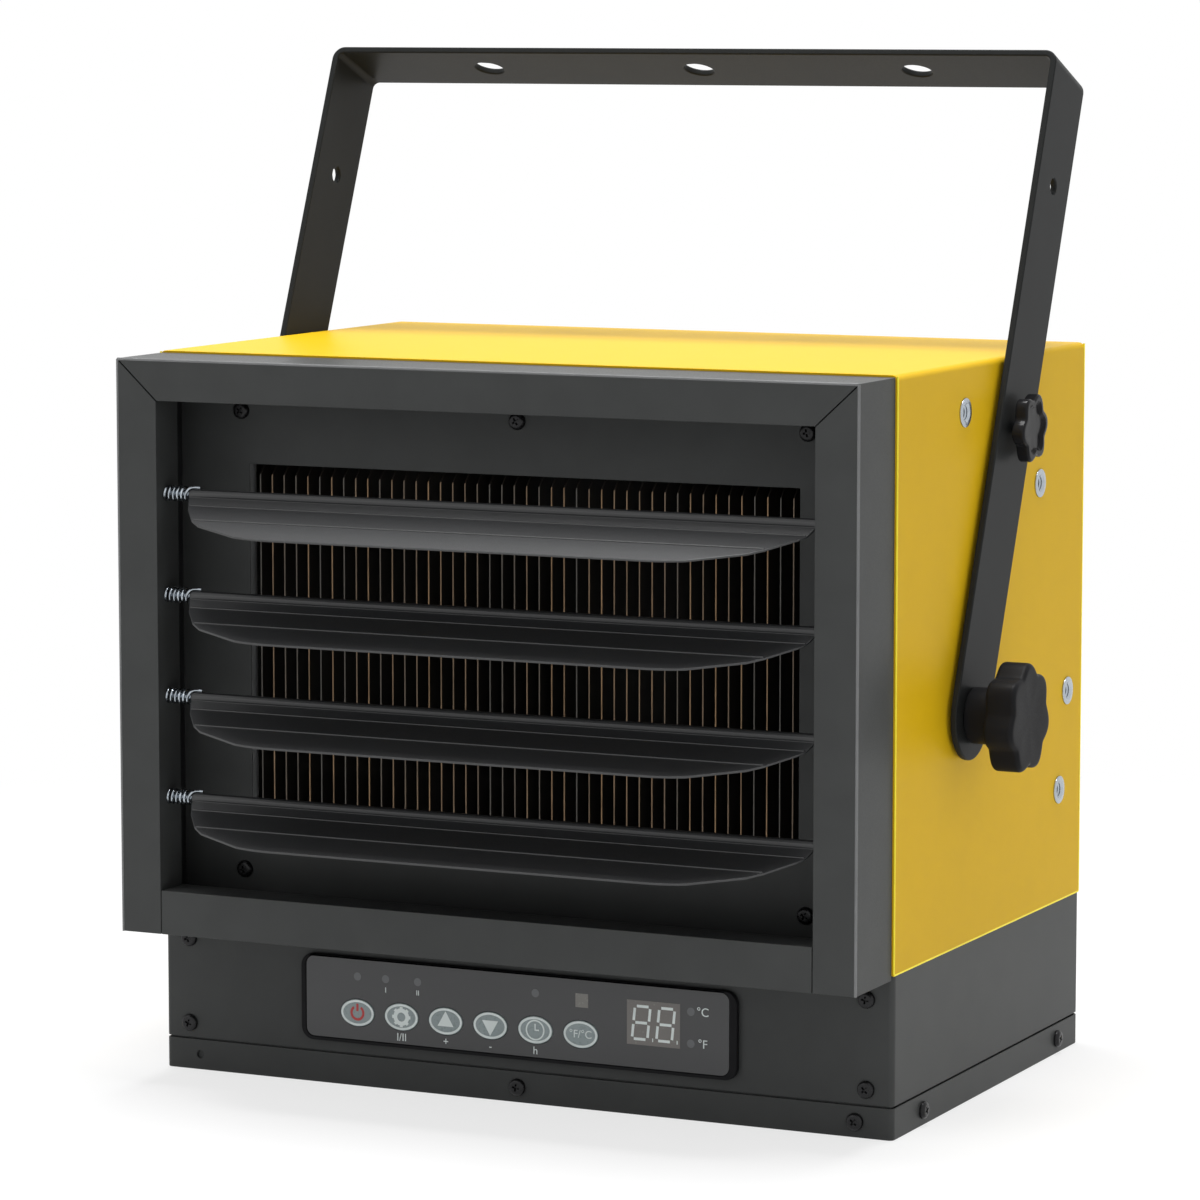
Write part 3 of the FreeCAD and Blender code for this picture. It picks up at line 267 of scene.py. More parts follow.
class HeaterColours(bpy.types.PropertyGroup):
    """Colours of the finishes, in linear light."""

    yellow: bpy.props.FloatVectorProperty(
        name="Yellow", description="Paint of the case", subtype="COLOR",
        default=(0.625, 0.388, 0.0075))
    charcoal: bpy.props.FloatVectorProperty(
        name="Charcoal", description="Paint of the base and bezel", subtype="COLOR",
        default=(0.050, 0.052, 0.0515))
    # Louvre: the charcoal paint darkened with painted shade of the recessed mouth
    louvre: bpy.props.FloatVectorProperty(
        name="Louvre", description="Paint of the louvres", subtype="COLOR",
        default=(0.013, 0.0138, 0.015))
    # Fold: lighter grey for thin lines that paint the highlight on the bezel's folds and the core panel's
    # folded edges
    fold: bpy.props.FloatVectorProperty(
        name="Fold", description="Paint worn bright on the bezel's folds", subtype="COLOR",
        default=(0.16, 0.163, 0.165))
    # Case fold: brighter yellow for thin lines that paint the highlight on the case's rounded folds
    case_fold: bpy.props.FloatVectorProperty(
        name="Case fold", description="Thin bright paint on the case's folds", subtype="COLOR",
        default=(0.95, 0.80, 0.035))
    bracket: bpy.props.FloatVectorProperty(
        name="Bracket", description="Paint of the bracket", subtype="COLOR",
        default=(0.017, 0.018, 0.018))
    zinc: bpy.props.FloatVectorProperty(
        name="Zinc", description="Plating of nuts, studs and springs", subtype="COLOR",
        default=(0.42, 0.46, 0.50))
    screw: bpy.props.FloatVectorProperty(
        name="Screw", description="Black plating of the case screws", subtype="COLOR",
        default=(0.014, 0.014, 0.015))
    plastic: bpy.props.FloatVectorProperty(
        name="Plastic", description="Black mouldings", subtype="COLOR",
        default=(0.012, 0.012, 0.013))
    fin: bpy.props.FloatVectorProperty(
        name="Fin", description="Dull face of the fins", subtype="COLOR",
        default=(0.012, 0.010, 0.008))
    fin_edge: bpy.props.FloatVectorProperty(
        name="Fin edge", description="Bronze front edges of the fins", subtype="COLOR",
        default=(0.44, 0.28, 0.15))
    fin_edge_grey: bpy.props.FloatVectorProperty(
        name="Grey fin edge", description="Grey front edges of the fins", subtype="COLOR",
        default=(0.12, 0.115, 0.105))
    element: bpy.props.FloatVectorProperty(
        name="Element", description="Steel of the heating elements", subtype="COLOR",
        default=(0.42, 0.40, 0.38))
    ceramic: bpy.props.FloatVectorProperty(
        name="Ceramic", description="Ends of the heating elements", subtype="COLOR",
        default=(0.70, 0.67, 0.60))
    motor: bpy.props.FloatVectorProperty(
        name="Motor", description="Paint of the fan motor", subtype="COLOR",
        default=(0.06, 0.062, 0.066))
    fan: bpy.props.FloatVectorProperty(
        name="Fan", description="Metal of the fan wheel", subtype="COLOR",
        default=(0.50, 0.51, 0.52))
    film: bpy.props.FloatVectorProperty(
        name="Film", description="Key film", subtype="COLOR",
        default=(0.035, 0.036, 0.038))
    key: bpy.props.FloatVectorProperty(
        name="Key", description="Faces of the keys", subtype="COLOR",
        default=(0.24, 0.29, 0.295))
    circuit_board: bpy.props.FloatVectorProperty(
        name="Circuit board", description="Boards in the base", subtype="COLOR",
        default=(0.01, 0.07, 0.03))
    display: bpy.props.FloatVectorProperty(
        name="Display", description="Window of the digits", subtype="COLOR",
        default=(0.15, 0.14, 0.13))
    lamp: bpy.props.FloatVectorProperty(
        name="Lamp", description="Unlit lamps behind the film", subtype="COLOR",
        default=(0.14, 0.14, 0.14))
    lamp_window: bpy.props.FloatVectorProperty(
        name="Lamp window", description="Windows of the lamps in the film", subtype="COLOR",
        default=(0.095, 0.10, 0.105))
    receiver: bpy.props.FloatVectorProperty(
        name="Receiver", description="Window of the remote receiver", subtype="COLOR",
        default=(0.17, 0.165, 0.15))
    print_ink: bpy.props.FloatVectorProperty(
        name="Print", description="Pale printed signs", subtype="COLOR",
        default=(0.68, 0.74, 0.73))
    red_ink: bpy.props.FloatVectorProperty(
        name="Red print", description="Power sign", subtype="COLOR",
        default=(0.45, 0.03, 0.03))


def sizes():
    """The sizes that are set in the scene."""
    return bpy.context.scene.heater_sizes


def colours():
    """The colours that are set in the scene."""
    return bpy.context.scene.heater_colours


# Materials

def start_material(name):
    """A new material, its node tree, its shader and the place on the piece."""
    material = bpy.data.materials.new(name)
    material.use_nodes = True
    tree = material.node_tree
    shader = tree.nodes["Principled BSDF"]
    coordinates = tree.nodes.new("ShaderNodeTexCoord")
    return material, tree, shader, coordinates.outputs["Object"]


def noise(tree, place, scale, detail=3.0):
    """Value of a noise pattern."""
    node = tree.nodes.new("ShaderNodeTexNoise")
    node.inputs["Scale"].default_value = scale
    node.inputs["Detail"].default_value = detail
    tree.links.new(place, node.inputs["Vector"])
    return node.outputs["Fac"]


def mapped(tree, value, start, end, low, high):
    """Maps the range from start to end to the range from low to high."""
    node = tree.nodes.new("ShaderNodeMapRange")
    node.inputs["From Min"].default_value = start
    node.inputs["From Max"].default_value = end
    node.inputs["To Min"].default_value = low
    node.inputs["To Max"].default_value = high
    tree.links.new(value, node.inputs["Value"])
    return node.outputs["Result"]


def between(tree, value, low, high):
    """Maps a pattern's middle range to two numbers."""
    return mapped(tree, value, PATTERN_LOW, PATTERN_HIGH, low, high)


def colour_mix(tree, factor):
    """A mix of two colours that a pattern drives."""
    node = tree.nodes.new("ShaderNodeMix")
    node.data_type = "RGBA"
    tree.links.new(factor, node.inputs["Factor"])
    return node


def tinted(tree, value, colour, low, high):
    """A colour that a pattern makes lighter and darker."""
    node = colour_mix(tree, between(tree, value, 0, 1))
    node.inputs["A"].default_value = [channel * low for channel in colour] + [1]
    node.inputs["B"].default_value = [channel * high for channel in colour] + [1]
    return node.outputs["Result"]


def math_node(tree, operation, value, other=0.0):
    """One sum on a pattern's value, with a number or with another pattern."""
    node = tree.nodes.new("ShaderNodeMath")
    node.operation = operation
    tree.links.new(value, node.inputs[0])
    if isinstance(other, bpy.types.NodeSocket):
        tree.links.new(other, node.inputs[1])
    else:
        node.inputs[1].default_value = other
    return node.outputs["Value"]


def bumped(tree, shader, height, strength, distance):
    """Lets a pattern raise and sink the surface in its shading."""
    node = tree.nodes.new("ShaderNodeBump")
    node.inputs["Strength"].default_value = strength
    node.inputs["Distance"].default_value = distance
    tree.links.new(height, node.inputs["Height"])
    tree.links.new(node.outputs["Normal"], shader.inputs["Normal"])


def coating(name, colour, grain, rough, depth, spread=0.10, metallic=0.0, specular=0.5):
    """Paint, plating or plastic with fine grain, uneven gloss and slow changes of tone."""
    material, tree, shader, place = start_material(name)
    fine = noise(tree, place, grain, detail=2.0)
    slow = noise(tree, place, grain / SLOW_GRAINS, detail=4.0)
    tree.links.new(tinted(tree, slow, colour, 1 - spread, 1 + spread), shader.inputs["Base Color"])
    gloss = between(tree, fine, rough - ROUGH_SPREAD, rough + ROUGH_SPREAD)
    tree.links.new(gloss, shader.inputs["Roughness"])
    shader.inputs["Metallic"].default_value = metallic
    shader.inputs["Specular IOR Level"].default_value = specular
    bumped(tree, shader, fine, GRAIN_STRENGTH, depth)
    finishes[name] = material


def fin_finish():
    """Dark fins whose raw front edges are bronze or grey, a little different on each fin."""
    material, tree, shader, place = start_material("fin_metal")
    split = tree.nodes.new("ShaderNodeSeparateXYZ")
    tree.links.new(place, split.inputs["Vector"])
    low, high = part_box("heater_fins")
    edge = math_node(tree, "LESS_THAN", split.outputs["Y"], low.y + sizes().sheet_edge)
    along = math_node(tree, "MULTIPLY", split.outputs["X"], FIN_GAPS / (high.x - low.x))
    chance = tree.nodes.new("ShaderNodeTexWhiteNoise")
    chance.noise_dimensions = "1D"
    tree.links.new(math_node(tree, "FLOOR", along), chance.inputs["W"])
    streak = noise(tree, place, STREAK_GRAIN)
    tone = colour_mix(tree, chance.outputs["Value"])
    tone.inputs["A"].default_value = (*colours().fin_edge_grey, 1)
    tree.links.new(tinted(tree, streak, colours().fin_edge, low=0.55, high=1.1), tone.inputs["B"])
    blend = colour_mix(tree, edge)
    tree.links.new(tinted(tree, streak, colours().fin, low=0.8, high=1.2), blend.inputs["A"])
    tree.links.new(tone.outputs["Result"], blend.inputs["B"])
    tree.links.new(blend.outputs["Result"], shader.inputs["Base Color"])
    tree.links.new(between(tree, streak, low=0.45, high=0.6), shader.inputs["Roughness"])
    shader.inputs["Specular IOR Level"].default_value = 0.2
    finishes["fin_metal"] = material


def make_finishes():
    """One finish for each material slot, and the printed inks."""
    tint = colours()
    coating("yellow_paint", tint.yellow, grain=2600, rough=0.42, depth=4e-5, spread=0.012, specular=0.06)
    coating("charcoal_paint", tint.charcoal, grain=2400, rough=0.40, depth=7e-5, spread=0.05, specular=0.12)
    # Louvre paint: charcoal darkened with painted shade of the mouth
    coating("louvre_paint", tint.louvre, grain=2400, rough=0.50, depth=7e-5, spread=0.05, specular=0.8)
    # Painted highlight on the bezel's folds and the core panel's folded edges
    coating("fold_highlight_paint", tint.fold, grain=1200, rough=0.40, depth=3e-5, spread=0.12, specular=0.3)
    # Painted highlight on the case's folds
    coating("case_fold_highlight_paint", tint.case_fold, grain=2600, rough=0.40, depth=3e-5, spread=0.02, specular=0.3)
    coating("bracket_paint", tint.bracket, grain=2400, rough=0.40, depth=7e-5, spread=0.05, specular=0.06)
    coating("zinc_steel", tint.zinc, grain=1500, rough=0.22, depth=1e-5, spread=0.06, metallic=1.0)
    fin_finish()
    coating("element_steel", tint.element, grain=700, rough=0.22, depth=4e-5, spread=0.2, metallic=1.0)
    coating("ceramic", tint.ceramic, grain=600, rough=0.35, depth=5e-5)
    coating("motor_paint", tint.motor, grain=900, rough=0.38, depth=5e-5)
    coating("fan_metal", tint.fan, grain=500, rough=0.36, depth=5e-5, metallic=1.0)
    coating("black_plastic", tint.plastic, grain=1800, rough=0.42, depth=4e-5, spread=0.15, specular=0.05)
    coating("gloss_black", tint.plastic, grain=1800, rough=0.14, depth=6e-6, spread=0.15, specular=0.08)
    coating("screw_black", tint.screw, grain=1500, rough=0.30, depth=3e-5, spread=0.2, metallic=0.6)
    coating("key_film", tint.film, grain=500, rough=0.16, depth=2e-5, spread=0.08)
    coating("key_grey", tint.key, grain=800, rough=0.30, depth=3e-5, spread=0.06)
    coating("circuit_board", tint.circuit_board, grain=400, rough=0.35, depth=5e-5)
    coating("display_lens", tint.display, grain=700, rough=0.22, depth=3e-5, spread=0.08)
    coating("lamp_red", tint.lamp, grain=900, rough=0.25, depth=3e-5)
    coating("lamp_window", tint.lamp_window, grain=900, rough=0.20, depth=2e-5)
    coating("receiver_lens", tint.receiver, grain=900, rough=0.24, depth=2e-5)
    coating("print_ink", tint.print_ink, grain=1500, rough=0.45, depth=2e-5, spread=0.05)
    coating("red_ink", tint.red_ink, grain=1500, rough=0.45, depth=2e-5, spread=0.08)


# Modelling helpers

def only(piece):
    """Makes one object the only one selected."""
    bpy.ops.object.select_all(action="DESELECT")
    piece.select_set(True)
    bpy.context.view_layer.objects.active = piece
    return piece


def added(name):
    """Names the object that an operator has just added."""
    piece = bpy.context.active_object
    piece.name = name
    return only(piece)


def edit(action):
    """Runs mesh operators on all of the active piece."""
    bpy.ops.object.mode_set(mode="EDIT")
    bpy.ops.mesh.select_all(action="SELECT")
    action()
    bpy.ops.object.mode_set(mode="OBJECT")


def pick(piece, mode, test):
    """Selects the faces or edges of a piece that pass a test, and goes to edit mode."""
    only(piece)
    bpy.ops.object.mode_set(mode="EDIT")
    bpy.ops.mesh.select_mode(type=mode)
    bpy.ops.mesh.select_all(action="DESELECT")
    bpy.ops.object.mode_set(mode="OBJECT")
    mesh = piece.data
    parts = mesh.polygons if mode == "FACE" else mesh.edges
    for part in parts:
        part.select = test(mesh, part)
    bpy.ops.object.mode_set(mode="EDIT")


def extrude_up(height):
    """Extrudes what is selected along Z."""
    bpy.ops.mesh.extrude_region_move(TRANSFORM_OT_translate={"value": (0, 0, height)})


def scale_outline(share):
    """Scales what is selected, at its own height."""
    bpy.ops.transform.resize(value=(share, share, 1))


def face_outward():
    """Turns the faces of the active piece outward."""
    edit(lambda: bpy.ops.mesh.normals_make_consistent(inside=False))


def round_top(piece, height, width, segments):
    """Rounds the rim at the top of a piece."""

    def at_top(mesh, edge):
        return all(abs(mesh.vertices[i].co.z - height) < WELD_DISTANCE for i in edge.vertices)

    pick(piece, "EDGE", at_top)
    bpy.ops.mesh.bevel(offset=width, segments=segments, affect="EDGES")
    bpy.ops.object.mode_set(mode="OBJECT")


def cut_off(place, normal):
    """Cuts off what lies beyond a plane, and closes the cut."""
    edit(lambda: bpy.ops.mesh.bisect(plane_co=place, plane_no=normal, use_fill=True, clear_outer=True))


def apply_modifier(piece, kind, **settings):
    """Adds a modifier to a piece and applies it."""
    only(piece)
    modifier = piece.modifiers.new(kind.lower(), kind)
    for name, value in settings.items():
        setattr(modifier, name, value)
    bpy.ops.object.modifier_apply(modifier=modifier.name)


def soften(piece, width, segments=2, angle=30):
    """Rounds every sharp edge and shades the rest smooth."""
    apply_modifier(piece, "BEVEL", width=width, segments=segments, limit_method="ANGLE",
                   angle_limit=math.radians(angle), use_clamp_overlap=False)
    smooth(piece)


def smooth(piece):
    """Shades a piece smooth, apart from its sharp edges."""
    only(piece)
    bpy.ops.object.shade_smooth_by_angle(angle=SMOOTH_ANGLE)


def merged_copy(node, name):
    """A copy of a solid's mesh with its triangles joined into flat faces."""
    piece = bpy.data.objects.new(name, frame["nodes"][node].data.copy())
    bpy.context.scene.collection.objects.link(piece)
    piece.data.materials.clear()
    only(piece)
    bpy.ops.mesh.customdata_custom_splitnormals_clear()

    def join_faces():
        bpy.ops.mesh.remove_doubles(threshold=WELD_DISTANCE)
        bpy.ops.mesh.dissolve_limited(angle_limit=FLAT_ANGLE)

    edit(join_faces)
    return piece


def islands(node):
    """Middle and size of each separate solid in a node."""
    merged_copy(node, node + "_islands")
    bpy.ops.mesh.separate(type="LOOSE")
    found = []
    for part in list(bpy.context.selected_objects):
        places = [vertex.co for vertex in part.data.vertices]
        low = Vector([min(place[i] for place in places) for i in range(3)])
        high = Vector([max(place[i] for place in places) for i in range(3)])
        found.append(((low + high) / 2, high - low))
        bpy.data.objects.remove(part)
    return sorted(found, key=lambda entry: tuple(entry[0]))


def combine(piece, others, operation="UNION"):
    """Joins solids to a piece, or cuts them from it."""
    for other in others:
        apply_modifier(piece, "BOOLEAN", operation=operation, object=other, solver="EXACT")
        bpy.data.objects.remove(other)
    return piece


def joined(pieces, name):
    """One object from several."""
    bpy.ops.object.select_all(action="DESELECT")
    for piece in pieces:
        piece.select_set(True)
    bpy.context.view_layer.objects.active = pieces[0]
    bpy.ops.object.join()
    return added(name)


def moved(piece, matrix):
    """Puts a piece's place into its mesh."""
    only(piece)
    piece.matrix_world = matrix
    bpy.ops.object.transform_apply()
    return piece


def copied(piece, matrix):
    """A twin of a piece, with its own mesh, at another place."""
    twin = piece.copy()
    twin.data = piece.data.copy()
    bpy.context.scene.collection.objects.link(twin)
    return moved(twin, matrix)


def facing(place, outward, turn=0.0):
    """Matrix that stands a piece made along Z at a place, pointing outward."""
    turned = outward.to_track_quat("Z", "Y").to_matrix().to_4x4()
    return Matrix.Translation(place) @ turned @ Matrix.Rotation(turn, 4, "Z")


def finish(piece, finish_name, body, nodes=()):
    """Gives a piece its material, its body and the solids that it stands for."""
    piece.data.materials.clear()
    piece.data.materials.append(finishes[finish_name])
    for face in piece.data.polygons:
        face.material_index = 0
    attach(piece, body)
    for node in nodes:
        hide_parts(node)
    return piece


def cylinder(name, radius, length, sides=48):
    """Upright cylinder that stands on the origin."""
    middle = (0, 0, length / 2)
    bpy.ops.mesh.primitive_cylinder_add(vertices=sides, radius=radius, depth=length, location=middle)
    piece = added(name)
    bpy.ops.object.transform_apply()
    return piece


def block(name, middle, size):
    """Block about a middle."""
    bpy.ops.mesh.primitive_cube_add(size=1, location=middle, scale=size)
    piece = added(name)
    bpy.ops.object.transform_apply()
    return piece


def disc(name, sides, radius, turn=0.0):
    """Flat filled disc about the origin."""
    bpy.ops.mesh.primitive_circle_add(vertices=sides, radius=radius, fill_type="NGON", rotation=(0, 0, turn))
    piece = added(name)
    bpy.ops.object.transform_apply()
    return piece


def round_bar(name, start, length, radius, edge, segments=2, sides=32, outward=RIGHTWARD):
    """Cylinder with rounded rims from a starting point."""
    bar = cylinder(name, radius, length, sides)
    soften(bar, edge, segments)
    return moved(bar, facing(start, outward))


def round_bars(name, node, edge, segments=2):
    """Round bars along X in place of a node's plain ones."""
    return [round_bar(name, middle - RIGHTWARD * (size.x / 2), size.x, size.z / 2, edge, segments)
            for middle, size in islands(node)]


def dress(node, width, segments=2, finish_name=None, reshape=None):
    """A solid's own form with rounded edges."""
    piece = merged_copy(node, node + "_finished")
    if reshape:
        reshape(piece)
    soften(piece, width, segments)
    apply_modifier(piece, "WEIGHTED_NORMAL", keep_sharp=True)
    return finish(piece, finish_name or slot_of_node[node], body_of_node[node], [node])


def tube_line(name, points, radius, cyclic=False, sides=3):
    """A round wire through points, as a mesh."""
    bpy.ops.curve.primitive_bezier_curve_add()
    piece = added(name)
    curve = piece.data
    curve.splines.clear()
    spline = curve.splines.new("POLY")
    spline.points.add(len(points) - 1)
    for target, place in zip(spline.points, points):
        target.co = (place[0], place[1], place[2], 1)
    spline.use_cyclic_u = cyclic
    curve.dimensions = "3D"
    curve.bevel_depth = radius
    curve.bevel_resolution = sides
    curve.use_fill_caps = True
    bpy.ops.object.convert(target="MESH")
    return only(piece)


# Pieces

def folded_sheets():
    """Case, base, bezel and bracket with their bends and cut edges rounded."""
    edge = sizes().sheet_edge
    for node in ("case_wrap", "base_housing", "base_tray", "bezel_bottom_rail", "core_panel", "bezel_hood",
                 "rear_panel", "rear_guard", "case_floor", "motor_strap"):
        dress(node, edge)
    dress("element_end_plates", edge, finish_name="fin_metal")
    dress("bracket", edge * BRACKET_EDGES, segments=3, finish_name="bracket_paint")
    bezel_folds(edge * BEZEL_FOLD_EDGES)
    case_folds(edge * CASE_FOLD_EDGES)
    core_folds(edge)
    mouth_walls(edge)


def painted_highlight_lines(name, lines, radius, finish_name):
    """Rounded outer folds of a sheet as thin lines of lighter paint: a painted highlight along the folds."""
    folds = [tube_line(name, line, radius, sides=4) for line in lines]
    piece = joined(folds, name)
    smooth(piece)
    finish(piece, finish_name, "root")


def bezel_folds(radius):
    """Painted highlight lines along the bezel's front edges."""
    low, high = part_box("bezel_hood")
    sunk = radius * SUNK_SHARE
    y = low.y + sunk
    left, right, top = low.x + sunk, high.x - sunk, high.z - sunk
    lines = [[(x, y, low.z), (x, y, top)] for x in (right, left)]
    lines.append([(left, y, top), (right, y, top)])
    painted_highlight_lines("bezel_highlight_folds", lines, radius, "fold_highlight_paint")


def case_folds(radius):
    """Painted highlight lines along the upright edges of the case and the lower edges of its sides."""
    low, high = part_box("case_wrap")
    sunk = radius * SUNK_SHARE
    lines = [[(x, y, low.z + radius), (x, y, high.z - radius)]
             for x in (low.x + sunk, high.x - sunk) for y in (low.y + radius, high.y - sunk)]
    lines += [[(x, low.y + radius, low.z + sunk), (x, high.y - radius, low.z + sunk)]
              for x in (low.x + sunk, high.x - sunk)]
    painted_highlight_lines("case_highlight_folds", lines, radius, "case_fold_highlight_paint")


def core_folds(edge):
    """Edges of the core panel folded back along the upright sides of its opening. The folds are real, and
    their lighter fold paint is a painted highlight.
    """
    places = [vertex.co for vertex in frame["nodes"]["core_panel"].data.vertices]
    inner_x = min(abs(place.x) for place in places)
    inner_z = sorted({round(place.z, 5) for place in places})[1:-1]
    middle_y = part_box("core_panel")[1].y + CORE_FOLD / 2
    middle_z = (inner_z[0] + inner_z[-1]) / 2
    size = Vector((WALL, CORE_FOLD, inner_z[-1] - inner_z[0]))
    folds = []
    for side in (-1, 1):
        middle = Vector((side * (inner_x + WALL / 2), middle_y, middle_z))
        folds.append(block("core_fold", middle, size))
        soften(folds[-1], edge / 2)
    # The lighter fold paint on these real folds is a painted highlight
    finish(joined(folds, "core_panel_folds"), "fold_highlight_paint", "root")


def mouth_walls(edge):
    """Walls behind the bezel, between its folded returns and the case's front edges, in the dark louvre
    paint: painted shade of the recess.
    """
    hood_low, hood_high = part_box("bezel_hood")
    half = hood_high.x - STILE + WALL_BACK
    low = Vector((-half, hood_low.y + RETURN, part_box("bezel_bottom_rail")[1].z - WALL_BACK))
    high = Vector((half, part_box("core_panel")[0].y, hood_high.z - HOOD_FACE + WALL_BACK))
    middle = (low + high) / 2
    walls = block("mouth_walls", middle, high - low + 2 * Vector((WALL, 0, WALL)))
    opening = block("mouth_opening", middle, (high - low) * Vector((1, 2, 1)))
    combine(walls, [opening], "DIFFERENCE")
    soften(walls, edge / 2)
    finish(walls, "louvre_paint", "root")


def louvre_blade(node, axis):
    """A louvre's folded sheet with its ends cut to a slanted outline."""
    low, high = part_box(node)
    blade = merged_copy(node, node + "_blade")
    for end, outward in ((low.x, -1), (high.x, 1)):
        for reach, inset, slant in LOUVRE_ENDS:
            place = (end - outward * inset, axis.y - reach, axis.z)
            normal = Vector((outward, -slant, 0)).normalized()
            cut_off(place, normal)
    soften(blade, sizes().sheet_edge * BLADE_EDGES, angle=BLADE_ANGLE)
    return blade


def louvres():
    """Folded louvres with pressed crease lines, and the rods that they turn on."""
    edge = sizes().sheet_edge
    for number in range(1, LOUVRES + 1):
        node = "louvre_%d" % number
        axis = joint_place[node + "_tilt"]
        low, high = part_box(node)
        parts = [louvre_blade(node, axis)]
        for reach, drop, inset in CREASES:
            ends = [(x, axis.y - reach, axis.z - drop) for x in (low.x + inset, high.x - inset)]
            parts.append(tube_line("crease_line", ends, edge * CREASE_EDGES))
        piece = joined(parts, node + "_finished")
        apply_modifier(piece, "WEIGHTED_NORMAL", keep_sharp=True)
        # The louvre paint is the charcoal darkened with painted shade of the mouth
        finish(piece, "louvre_paint", node, [node])
        rod_node = "louvre_rod_%d" % number
        low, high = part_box(rod_node)
        start = Vector((low.x, axis.y, axis.z))
        rod = round_bar(rod_node + "_round", start, high.x - low.x, (high.z - low.z) / 2, edge / 2, sides=24)
        finish(rod, "zinc_steel", node, [rod_node])


def spring_path(start, coil_end):
    """Places along X and angles of a spring's wire: its turns, then its hook."""
    count = sizes().spring_turns * COIL_STEPS
    path = [(start + (coil_end - start) * i / count, math.pi + 2 * math.pi * i / COIL_STEPS)
            for i in range(count + 1)]
    hook_length = sizes().spring_wire * HOOK_WIRES
    for i in range(1, HOOK_STEPS + 1):
        share = i / HOOK_STEPS
        angle = math.pi + HOOK_SWEEP * math.sin(share * math.pi / 2)
        path.append((coil_end + hook_length * share ** 2, angle))
    return path


def friction_springs():
    """Wound springs at the louvres' left ends, each with a hook that bears on the louvre's tube."""
    wire = sizes().spring_wire
    axis_y = joint_place["louvre_1_tilt"].y
    coil_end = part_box("louvre_1")[0].x - wire / 2
    coils = []
    for middle, size in islands("louvre_springs"):
        radius = size.y / 2 - wire / 2
        start = middle.x - size.x / 2 + wire / 2
        points = [(x, axis_y + radius * math.sin(angle), middle.z + radius * math.cos(angle))
                  for x, angle in spring_path(start, coil_end)]
        coils.append(tube_line("spring_coil", points, wire / 2))
    piece = joined(coils, "friction_springs")
    smooth(piece)
    finish(piece, "zinc_steel", "root", ["louvre_springs"])


def pan_head(name):
    """Domed screw head with a cross recess, made along Z."""
    radius, height = sizes().screw_radius, sizes().screw_height
    head = cylinder(name, radius, height, sides=40)
    round_top(head, height, height * DOME_SHARE, segments=6)
    above = Matrix.Translation((0, 0, height * RECESS_LIFT))
    cutters = []
    for turn in (0, math.pi / 2):
        arm = block("recess_arm", (0, 0, 0), (radius * RECESS_LENGTH, radius * RECESS_WIDTH, height))
        pick(arm, "FACE", lambda mesh, face: face.normal.z < -0.5)
        bpy.ops.transform.resize(value=RECESS_TAPER)
        bpy.ops.object.mode_set(mode="OBJECT")
        cutters.append(moved(arm, above @ Matrix.Rotation(turn, 4, "Z")))
    combine(head, cutters, "DIFFERENCE")
    smooth(head)
    return head


def screws():
    """Cross-recessed heads in place of the plain ones, each turned a little differently."""
    head = pan_head("screw_head_pattern")
    heads = []
    for count, (middle, size) in enumerate(islands("case_screws")):
        thin = min(range(3), key=lambda axis: size[axis])
        outward = Vector((0, 0, 0))
        outward[thin] = 1 if middle[thin] > 0 else -1
        seat = middle - outward * (size[thin] / 2)
        heads.append(copied(head, facing(seat, outward, count * SCREW_TURN)))
    bpy.data.objects.remove(head)
    finish(joined(heads, "case_screw_heads"), "screw_black", "root", ["case_screws"])


def wind_thread(ridges, step, root_share):
    """Extrudes a disc along Z into ridges and the roots between them."""
    for count in range(ridges):
        extrude_up(step)
        scale_outline(root_share if count % 2 else 1 / root_share)


def set_nut(name, flange_radius, flange, bore_radius, depth):
    """Flanged nut on a sleeve with a ridged bore, made along Z with its flange's back at zero."""
    piece = cylinder(name, flange_radius, flange)
    round_top(piece, flange, flange * NUT_RIM, segments=3)
    sleeve = cylinder("nut_sleeve", bore_radius * SLEEVE_SHARE, depth + flange / 2)
    combine(piece, [moved(sleeve, Matrix.Translation((0, 0, -depth)))])
    ridge = sizes().thread_pitch / 2
    count = int((depth + flange * THREADED_SHARE) / ridge) + 1
    cutter = disc("nut_bore", 48, bore_radius)

    def cut_thread():
        bpy.ops.transform.translate(value=(0, 0, -depth - ridge))
        wind_thread(count, ridge, NUT_ROOT)
        extrude_up(flange * CUT_THROUGH - (count - 1) * ridge + depth)
        scale_outline(MOUTH_FLARE)

    edit(cut_thread)
    face_outward()
    combine(piece, [cutter], "DIFFERENCE")
    smooth(piece)
    return piece


def set_nuts(node, depth, bore_radius):
    """Zinc nuts in the case's sides, in place of a node's plain ones."""
    solids = islands(node)
    first_size = solids[0][1]
    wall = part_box("case_wrap")[1].x
    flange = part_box(node)[1].x - wall
    pattern = set_nut(node + "_pattern", max(first_size.y, first_size.z) / 2, flange, bore_radius, depth)
    twins = []
    for middle, _ in solids:
        side = 1 if middle.x > 0 else -1
        seat = Vector((side * wall, middle.y, middle.z))
        twins.append(copied(pattern, facing(seat, Vector((side, 0, 0)))))
    bpy.data.objects.remove(pattern)
    finish(joined(twins, node + "_finished"), "zinc_steel", "root", [node])


def nuts_and_washers():
    """Zinc nuts in the case's sides, and the washers behind the bracket."""
    set_nuts("rivet_nuts", RIVET_DEPTH, RIVET_BORE)
    set_nuts("pivot_nuts", PIVOT_DEPTH, PIVOT_BORE)
    washers = []
    for middle, size in islands("pivot_washers"):
        ring = cylinder("washer_ring", size.z / 2, size.x)
        hole = cylinder("washer_hole", PIVOT_BORE, size.x * 3, sides=32)
        moved(hole, Matrix.Translation((0, 0, -size.x)))
        combine(ring, [hole], "DIFFERENCE")
        soften(ring, size.x * WASHER_EDGE)
        washers.append(moved(ring, facing(middle - RIGHTWARD * (size.x / 2), RIGHTWARD)))
    finish(joined(washers, "pivot_washers_finished"), "zinc_steel", "root", ["pivot_washers"])


